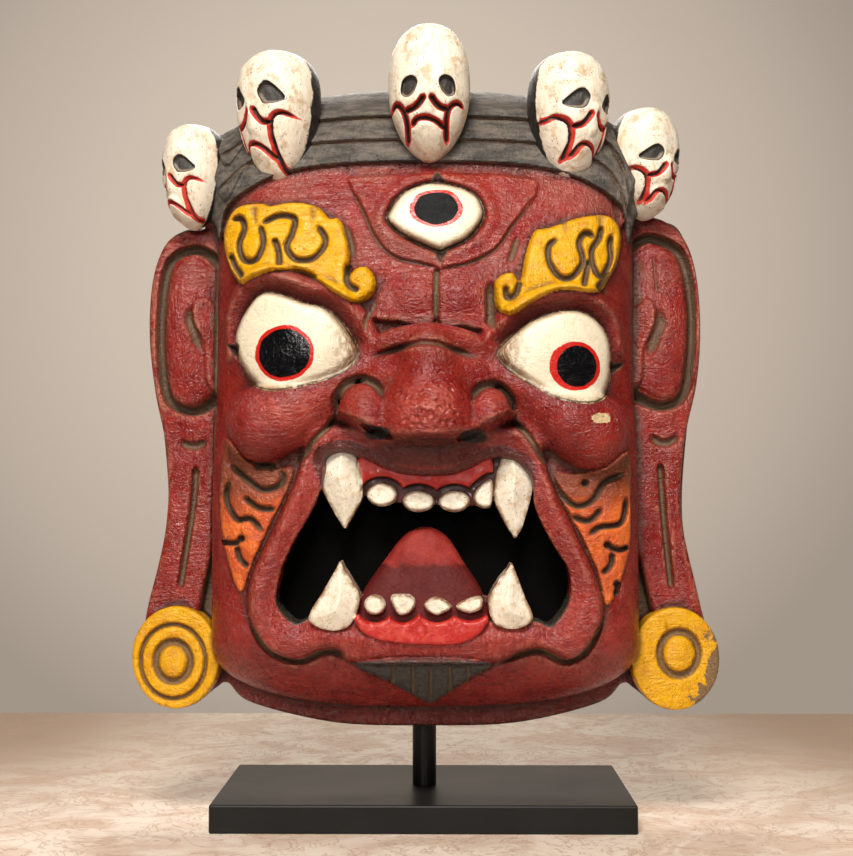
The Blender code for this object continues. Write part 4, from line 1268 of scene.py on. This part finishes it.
class MaskFinish(Finish):
    """Worn lacquer and paints on the mask, with painted shade, sheen and highlights. Each method lays its
    paint over the colour so far.
    """

    def __init__(self):
        super().__init__("painted_wood_mask")
        self.crease, self.out, self.ball = self.mask("crease"), self.mask("out"), self.mask("eye")
        self.cloudy = self.noise(24, 4, 0.65)
        along = self.noise(3.0, 3, 0.65, stretch=(1, 1, 3.4), twist=1.4)
        athwart = self.noise(3.0, 3, 0.65, stretch=(4, 1, 1), twist=1.4, shift=11)
        self.strokes = along + self.noise(70, 1, shift=13).ease(0.46, 0.54) * (athwart - along)
        self.dabs = self.noise(5.5, 3, 0.6, stretch=(1.6, 1, 1), twist=2.2, shift=5)
        self.fine = self.noise(1.0, 1, 0.6)
        self.dusty = self.noise(8, 4, 0.75, shift=2).ease(0.44, 0.66)
        self.chips = (1 - self.cells(3.1)).ease(0.82, 0.9) * self.noise(11, 2, shift=6).ease(0.52, 0.6)
        self.edge = (self.noise(2.4, 2, 0.6, shift=3.1) - 0.5) * 0.1
        # How far a point lies in a hollow: the lacquer is darkened there as painted shade, and dust gathers
        # there.
        self.deep = (self.mask("shade") - 0.5).ease(0.03, 0.2)
        head_side = (self.across.size() - 0.127).ease(0, 0.006) * self.out.ease(0.28, 0.36)
        self.grime = self.mask("grime") * (1 - head_side)
        self.lid_under_shade = self.ball.ease(0.02, 0.16) * (0.36 - self.up).ease(0, 0.01)
        self.earring = self.mask("gold").ease(0.47, 0.51) * self.out.ease(0.13, 0.16) * (
            0.33 - self.out).ease(0, 0.03)
        self.bare = self.mask("hollow_in").ease(0.36, 0.42).at_least((1 - self.out).ease(0.992, 0.998))

    def lacquer(self):
        """Red lacquer: cloudy, faded on the forehead, painted sheen in brush streaks, worn on edges, painted
        shade and dust in hollows, chipped.
        """
        raised = (0.5 - self.crease).ease(0.02, 0.2)
        colour = self.mix(self.cloudy.ease(0.38, 0.62), LACQUER, LACQUER_LIGHT)
        colour = self.mix(self.dabs.ease(0.5, 0.75) * 0.5, colour, LACQUER_DARK)
        faded = self.noise(34, 4, 0.65, stretch=(1.6, 1, 1), shift=21).ease(0.42, 0.62)
        colour = self.mix(faded * self.up.ease(0.26, 0.4) * 0.5, colour, srgb(146, 82, 68))
        # Lighter brush streaks: a painted sheen, stronger on raised edges where the paint is also worn.
        colour = self.mix(self.strokes.ease(0.52, 0.74) * (0.3 + raised * 0.6), colour, LACQUER_WORN_AND_SHEEN)
        colour = self.mix(raised * self.strokes.ease(0.4, 0.6) * 0.35, colour, srgb(206, 150, 122))
        # Painted shade: darker lacquer in the hollows.
        colour = self.mix(self.deep * 0.55, colour, LACQUER_DARK)
        colour = self.mix(self.dusty * self.deep * 0.5, colour, DUST)
        colour = self.mix((1 - self.out).ease(0.885, 0.93) * 0.92, colour, MAROON)
        chipped = self.mix(self.noise(3, 1, shift=12).ease(0.45, 0.55), SOOT_AND_SHADE, LACQUER_WORN_AND_SHEEN)
        return self.mix(self.chips * 0.75, colour, chipped)

    def flames(self, colour):
        """Orange on the jaws, browner towards the top."""
        orange = self.mix(self.noise(16, 3, shift=1.7).ease(0.4, 0.6), ORANGE, srgb(200, 84, 36))
        orange = self.mix((self.up + (self.cloudy - 0.5) * 0.03).ease(0.196, 0.222), orange, UMBER)
        orange = self.mix(self.strokes.ease(0.5, 0.8) * 0.4, orange, srgb(226, 138, 84))
        return self.mix((self.mask("flame_patch") + self.edge).ease(0.48, 0.52), colour, orange)

    def band_and_beard(self, colour):
        black = self.mix(self.noise(5, 3, 0.7, stretch=(4, 1, 1)).ease(0.32, 0.72), CHARCOAL, CHARCOAL_LIGHT)
        colour = self.mix((self.mask("band") + self.edge * 0.4).ease(0.49, 0.51), colour, black)
        return self.mix((self.mask("beard") + self.edge * 0.4).ease(0.49, 0.52), colour, CHARCOAL)

    def brows_and_earrings(self, colour):
        yellow = self.mix(self.noise(9, 3, shift=4.0).ease(0.45, 0.7) * 0.6, YELLOW, YELLOW_DARK)
        brow = (self.mask("brow") + self.edge * 0.6).ease(0.46, 0.5)
        return self.mix(brow.at_least(self.earring), colour, yellow)

    def eye_white(self):
        """Off-white, streaked, and stained brown towards the rim and the inner corners."""
        streaky = self.noise(4, 3, 0.75, stretch=(1, 1, 2.5), twist=1.0, shift=2.2)
        stain = self.noise(8, 4, 0.7, shift=8).ease(0.3, 0.6)
        near_edge = 1 - self.ball
        white = self.mix(streaky.ease(0.5, 0.74) * 0.5, srgb(244, 230, 202), srgb(206, 182, 142))
        white = self.mix(near_edge.ease(0.0, 0.5) * stain * 0.9, white, srgb(150, 112, 62))
        inner = (0.064 - (self.across - 0.004).size()).ease(0, 0.02) * (0.36 - self.up).ease(0, 0.02)
        white = self.mix(inner * streaky.ease(0.36, 0.58) * 0.9, white, srgb(132, 90, 46))
        spots = self.noise(4, 3, 0.75, shift=9).ease(0.42, 0.58)
        white = self.mix(near_edge.ease(0.3, 0.5) * spots, white, DIRT)
        rim = (0.055 - (self.ball - 0.53).size()).ease(0, 0.03)
        return self.mix(rim * self.noise(12, 3, shift=19).ease(0.35, 0.5) * 0.85, white, srgb(54, 38, 24))

    def eyes(self, colour):
        """The eyeballs with their rings and a painted shade under the lids; the result is the colour and the
        gloss of the black.
        """
        # Painted shade in maroon on the slopes just outside the two lower eyes, under their lids.
        colour = self.mix(self.lid_under_shade * 0.7, colour, srgb(122, 38, 38))
        colour = self.mix((self.ball + self.edge * 0.3).ease(0.41, 0.43), colour, self.eye_white())
        wobble = (self.noise(9, 2, shift=5.0) - 0.5) * 0.16
        # Grey blotches in the black: a painted reflection.
        black = self.mix(self.noise(5, 3, 0.7, twist=2).ease(0.5, 0.7) * 0.4, EYE_BLACK, srgb(46, 49, 54))
        gloss = 0
        for ring_spot, ring_size, spot, size, shine in IRISES:
            colour = self.mix((1 - self.disc(ring_spot, ring_size) - wobble).ease(0, 0.03), colour, VERMILION)
            iris = (1 - self.disc(spot, size) - wobble).ease(0, 0.04)
            colour = self.mix(iris, colour, black)
            gloss = iris * shine + gloss
        return colour, gloss

    def nose_and_lips(self, colour):
        """Nose and left cheek worn and given a painted highlight, lips worn with a painted sheen, a painted
        shadow under the nose, and the nostrils.
        """
        # A painted highlight, with some wear, on the nose's tip and the left cheek's crest.
        rubbed_and_highlit = (1 - self.disc((2, 266), (26, 20))).ease(0, 0.6).at_least(
            (1 - self.disc((-82, 264), (30, 16))).ease(0, 0.6))
        colour = self.mix(rubbed_and_highlit * (0.15 + self.strokes.ease(0.42, 0.6) * 0.5), colour, LACQUER_WORN_AND_SHEEN)
        # Paler lip crests: wear and a painted sheen.
        lip_wear_and_sheen = self.mask("lips").ease(0.55, 0.95) * (1 - self.deep)
        colour = self.mix(lip_wear_and_sheen * (0.04 + self.strokes.ease(0.4, 0.6) * 0.24), colour, srgb(192, 88, 78))
        # A painted shadow under the nose.
        nose_shadow = (1 - self.disc((3, 239), (46, 11))).ease(0, 0.4)
        colour = self.mix(nose_shadow * 0.75, colour, srgb(62, 12, 12))
        for spot in ((-27, 250), (31, 248)):
            colour = self.mix((1 - self.disc(spot, (10, 4.4))).ease(0, 0.3), colour, SOOT_AND_SHADE)
        return colour

    def hollows_and_grime(self, colour):
        """The mouth's wall, painted shade in the creases, grime in the cuts, and a pale scrap stuck to a
        cheek.
        """
        # The mouth's wall: dark red in its upper part as painted shade, grey olive below.
        wall = (self.mask("mouth") + self.edge * 0.4).ease(0.46, 0.5)
        low_wall = (0.19 - self.up + (self.cloudy - 0.5) * 0.02).ease(-0.012, 0.012)
        colour = self.mix(wall, colour, self.mix(low_wall, srgb(96, 32, 28), srgb(70, 64, 54)))
        # Painted shade in the creases, softer under the lids.
        crease_shade = (self.crease - 0.5 + self.edge * 0.3).ease(0.02, 0.15)
        colour = self.mix(crease_shade * (0.55 - self.lid_under_shade * 0.4), colour, srgb(44, 20, 16))
        speckle = self.fine - 0.5
        wax = self.mix((self.grime + speckle * 0.2).ease(0.72, 1.0), srgb(112, 88, 66), srgb(44, 30, 22))
        colour = self.mix((self.grime + speckle * 0.3).ease(0.3, 0.7) * 0.92, colour, wax)
        torn = (self.noise(4, 3, 0.7, shift=15) - 0.5) * 1.2
        scrap = (1 - self.disc((108, 259.5), (6.5, 3.2)) - torn).ease(0, 0.06)
        return self.mix(scrap, colour, self.mix(self.fine, srgb(236, 216, 170), srgb(170, 128, 84)))

    def raw_wood(self, colour):
        """Bare wood on the back and in the hollow, and where the right earring's paint is gone."""
        grain = self.noise(2.2, 3, 0.6, stretch=(1, 1, 14), twist=0.4)
        wood = self.mix(grain.ease(0.3, 0.75), RAW_WOOD, RAW_WOOD_DARK)
        wood = self.mix(self.noise(40, 4, 0.6).ease(0.4, 0.7) * 0.5, wood, srgb(58, 38, 24))
        colour = self.mix(self.bare, colour, wood)
        worn = self.noise(7, 4, 0.7, shift=6.0) + (self.up - 0.100) * (-6.0) + (self.across - 0.176) * 18.0
        return self.mix(worn.ease(0.58, 0.64) * self.earring, colour,
                        self.mix(self.fine, srgb(150, 120, 84), srgb(110, 82, 52)))

    def texture(self):
        """Brush marks, pits and chips, and the coarse pits of the nose's tip."""
        pits = self.cells(3.1).ease(0.05, 0.3)
        pits = 1 - (1 - pits) * self.noise(10, 2, shift=9).ease(0.42, 0.55)
        tip = (1 - self.disc((4, 264), (28, 36))).ease(0, 0.5)
        height = tip * self.cells(5).ease(0.1, 0.5) * 1.3 + self.strokes * 1.3 + self.dabs * 1.1
        height = height + self.fine * 0.25 + pits * 0.5 - self.chips * 0.2
        return height * (1 - self.ball.ease(0.4, 0.5) * (1 - self.bare) * 0.65), tip


def mask_finish():
    f = MaskFinish()
    colour, gloss = f.eyes(f.brows_and_earrings(f.band_and_beard(f.flames(f.lacquer()))))
    colour = f.raw_wood(f.hollows_and_grime(f.nose_and_lips(colour)))
    height, tip = f.texture()
    rough = 0.15 - tip * 0.05 + f.dabs * 0.16 + f.deep * 0.2 + f.grime * 0.3 + f.bare * 0.35 + f.dusty * 0.1
    rough = rough + f.mask("band").ease(0.49, 0.51) * 0.3
    return f.finish(colour, rough - gloss * 0.22, height, 0.95, Specular_IOR_Level=0.5)


def skull_finish():
    f = Finish("painted_wood_skull")
    grime, cut, crease, up = f.mask("grime"), f.mask("cut"), f.mask("crease"), f.mask("facing_up")
    edge = (f.noise(2.0, 3, 0.6, shift=3.1) - 0.5) * 0.14
    streaks = f.noise(3.6, 5, 0.7, stretch=(1, 1, 4), twist=0.8, shift=1)
    bone = f.mix(streaks.ease(0.48, 0.72) * 0.55, BONE, srgb(226, 176, 112))
    bone = f.mix(f.noise(9, 4, 0.7, shift=4).ease(0.5, 0.66) * 0.6, bone, srgb(186, 146, 94))
    # Painted shade: browner bone in the creases.
    bone = f.mix((crease - 0.5).ease(0.03, 0.2) * 0.4, bone, srgb(150, 104, 62))
    bone = f.mix(f.specks(2.4, 8), bone, SOOT_AND_SHADE)
    red = f.mix(f.noise(5, 3, shift=9).ease(0.4, 0.6), VERMILION, srgb(214, 66, 48))
    # Deep in the cuts the red goes dark: near black as painted shade on walls that face down, brown on walls
    # that face up.
    red = f.mix((cut + edge * 2).ease(0.28, 0.55), red, f.mix(up.ease(0.35, 0.65), SOOT_AND_SHADE, srgb(88, 48, 36)))
    colour = f.mix((grime + edge * 1.6).ease(0.12, 0.34), bone, red)
    socket = f.mask("socket") + edge * 0.5
    # Inside a socket: painted shade, dark grey where it faces down, and painted light, pale where it faces
    # up.
    inside = f.mix(up.ease(0.5, 0.68), srgb(58, 54, 50), srgb(136, 118, 98))
    inside = f.mix((socket - 0.5).ease(0.02, 0.09), SOOT_AND_SHADE, inside)
    colour = f.mix(socket.ease(0.48, 0.52), colour, inside)
    ragged = (f.noise(9, 4, 0.6, shift=7) - 0.5) * 0.16
    behind = (0.5 + ragged - f.mask("ahead")).ease(0.045, 0.07)
    colour = f.mix(behind, colour, f.mix(f.noise(4, 4, 0.7).ease(0.4, 0.7), SOOT_AND_SHADE, CHARCOAL))
    strokes = f.noise(2.4, 4, 0.65, stretch=(1, 1, 2), twist=1.0)
    return f.finish(colour, 0.34 + strokes * 0.2 + grime * 0.1, strokes + f.noise(8, 3) * 0.6, 0.7)


def teeth_finish():
    f = Finish("painted_wood_teeth")
    crease = f.mask("crease")
    edge = (f.noise(1.8, 3, 0.6) - 0.5) * 0.12
    tooth = f.mask("tooth") + edge * 0.7
    bone = f.mix(f.noise(4, 5, 0.7, shift=2).ease(0.46, 0.74), BONE, BONE_DARK)
    bone = f.mix((1 - tooth).ease(0.2, 0.5) * f.noise(6, 4, 0.7, shift=5).ease(0.35, 0.6), bone,
                 srgb(150, 104, 56))
    bone = f.mix(f.specks(2.0, 7), bone, SOOT_AND_SHADE)
    # The bed behind the teeth and gum is dark maroon, a painted shade in the recess round each tooth.
    bed = f.mix(f.noise(6, 4, 0.7).ease(0.4, 0.6), srgb(92, 28, 24), srgb(66, 30, 24))
    gum = f.mix(f.noise(6, 3).ease(0.45, 0.65), srgb(190, 32, 26), srgb(206, 64, 50))
    colour = f.mix((f.mask("gum") + edge * 0.4).ease(0.47, 0.52), bed, gum)
    colour = f.mix(tooth.ease(0.46, 0.5), colour, bone)
    # Painted shade in the creases.
    colour = f.mix((crease - 0.5).ease(0.05, 0.2) * 0.5, colour, srgb(56, 20, 16))
    strokes = f.noise(2.6, 4, 0.65, twist=1.0)
    return f.finish(colour, 0.26 + strokes * 0.2, strokes + f.noise(7, 3) * 0.5, 0.8, Coat_Weight=0.2,
                    Coat_Roughness=0.15)


def tongue_finish():
    f = Finish("painted_wood_tongue")
    strokes = f.noise(2.6, 4, 0.65, twist=1.0)
    colour = f.mix(f.noise(14, 4).ease(0.4, 0.65), srgb(132, 34, 30), srgb(158, 54, 46))
    # The lower part of the tongue is darker: a painted shade.
    root = (0.172 - f.up + (f.noise(12) - 0.5) * 0.012).ease(0, 0.004)
    colour = f.mix(root * 0.8, colour, srgb(72, 18, 18))
    return f.finish(colour, 0.46 + strokes * 0.2, strokes + f.noise(6, 3) * 0.6, 0.6, Specular_IOR_Level=0.22)


def cloth_finish():
    f = Finish("black_cloth_weave")
    warp, weft = (f.node("ShaderNodeTexWave", {"wave_type": "BANDS", "bands_direction": way},
                         {"Vector": f.place, "Scale": 320.0}, output="Fac") for way in ("X", "Z"))
    thread = warp * weft
    colour = f.mix(thread * 0.6, srgb(4, 4, 4), srgb(14, 13, 13))
    return f.finish(colour, 0.95, thread + f.noise(1.2) * 0.4, 0.2, Specular_IOR_Level=0.1)


def steel_finish():
    f = Finish("black_powder_coat")
    grain = f.noise(0.9, 1, 0.6)
    cloud = f.noise(60, 3)
    colour = f.mix(cloud.ease(0.4, 0.65), srgb(12, 12, 12), srgb(18, 18, 18))
    return f.finish(colour, 0.3 + cloud * 0.14 + grain * 0.06, grain, 0.03, Specular_IOR_Level=0.3)


def floor_finish():
    f = Finish("pale_floor")
    veins = f.noise(46, 5, 0.65, twist=2.0)
    colour = f.mix(f.noise(90, 5, 0.65, twist=1.5).ease(0.42, 0.62), srgb(250, 236, 220), srgb(228, 204, 184))
    # Painted shade: the floor darkens towards the back and the sides, as the light falls off there.
    far = (f.across.size() - 0.1).ease(0, 0.26) * f.back.ease(-0.15, 0.3)
    colour = f.mix(far, colour, srgb(166, 142, 122))
    thin = (0.03 - (veins - 0.5).size()).ease(0, 0.03)
    colour = f.mix(thin * 0.6, colour, srgb(188, 148, 118))
    return f.finish(colour, 0.42 + f.noise(60, 1) * 0.1)


def backdrop_finish():
    f = Finish("backdrop")
    # The backdrop glows with a painted pool of light, brightest left of the middle and falling off outwards.
    glow = f.disc((-100, 620), (950, 900))
    f.feed(f.shader.inputs["Emission Color"], f.ramp(
        glow, (0.0, srgb(222, 206, 190)), (0.5, srgb(204, 189, 173)),
        (0.75, srgb(188, 173, 159)), (1.0, srgb(162, 150, 137))))
    return f.finish(srgb(0, 0, 0), 1.0, Emission_Strength=1.0, Specular_IOR_Level=0.0)


# ---------------------------------------------------------------- putting it together

def give(piece, material):
    piece.data.materials.clear()
    piece.data.materials.append(material)
    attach(piece, "root")


def make_pieces():
    mask = carve_mask()
    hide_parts("mask")
    give(mask, mask_finish())
    bone = skull_finish()
    for number, skull in enumerate(SKULLS):
        give(carve_skull(number, skull), bone)
    ivory = teeth_finish()
    give(carve_upper_teeth(), ivory)
    give(carve_lower_teeth(), ivory)
    give(carve_tongue(), tongue_finish())
    cloth = weave_cloth()
    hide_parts("mouth_cloth")
    give(cloth, cloth_finish())
    steel = steel_finish()
    for node in ("stand_post", "stand_base"):
        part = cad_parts[node]
        part.data.materials.clear()
        part.data.materials.append(steel)


def plane(name, corners, material):
    item = as_mesh(name, np.array(corners, float), np.array([[0, 1, 2, 3]]))
    item.data.materials.append(material)


def make_stage():
    plane("floor", [(-1.2, -0.36, 0), (1.2, -0.36, 0), (1.2, 0.44, 0), (-1.2, 0.44, 0)], floor_finish())
    plane("backdrop", [(-3, 1.5, -2), (3, 1.5, -2), (3, 1.5, 3), (-3, 1.5, 3)], backdrop_finish())
    world = bpy.data.worlds.new("studio")
    world.use_nodes = True
    world.node_tree.nodes["Background"].inputs["Color"].default_value = (*srgb(224, 210, 196), 1)
    world.node_tree.nodes["Background"].inputs["Strength"].default_value = 0.06
    bpy.context.scene.world = world


def add_lamp(name, place, aim, size, power, colour=(1, 1, 1)):
    data = bpy.data.lights.new(name, "AREA")
    data.shape = "RECTANGLE"
    data.size, data.size_y = size
    data.energy = power
    data.color = colour
    lamp = bpy.data.objects.new(name, data)
    bpy.context.scene.collection.objects.link(lamp)
    lamp.location = place
    lamp.rotation_euler = (Vector(aim) - Vector(place)).to_track_quat("-Z", "Y").to_euler()


def make_lights():
    middle = (0, -0.05, 0.27)
    add_lamp("key", (-0.1, -1.15, 1.3), middle, (0.55, 0.3), 25, (1, 0.93, 0.85))
    add_lamp("fill", (0, -1.7, 0.45), middle, (1.0, 0.4), 2.5, (1, 0.95, 0.9))
    add_lamp("sparkle_left", (-0.24, -1.4, 0.6), middle, (0.16, 0.16), 4.5, (1, 0.95, 0.9))
    add_lamp("sparkle_right", (0.6, -1.3, 1.0), middle, (0.16, 0.16), 1.6, (1, 0.95, 0.9))
    add_lamp("floor", (-0.05, 0.45, 0.8), (-0.05, 0.14, 0), (0.4, 0.3), 3.4, (1, 0.94, 0.88))


# Where the camera stands, how far it looks up and to the left, in radians, and its lens in mm.
CAMERA_PLACE, LOOK_UP, LOOK_LEFT, LENS = (0.0115, -1.0025, 0.2137), 0.04473, 0.01003, 61.8


def make_camera():
    bpy.context.scene.view_settings.view_transform = "Standard"
    data = bpy.data.cameras.new("view")
    data.lens = LENS
    data.sensor_fit = "AUTO"
    data.sensor_width = 36
    camera = bpy.data.objects.new("view", data)
    camera.location = CAMERA_PLACE
    camera.rotation_euler = (math.pi / 2 + LOOK_UP, 0, LOOK_LEFT)
    bpy.context.scene.collection.objects.link(camera)
    bpy.context.scene.camera = camera


make_stage()
make_pieces()
make_lights()
make_camera()
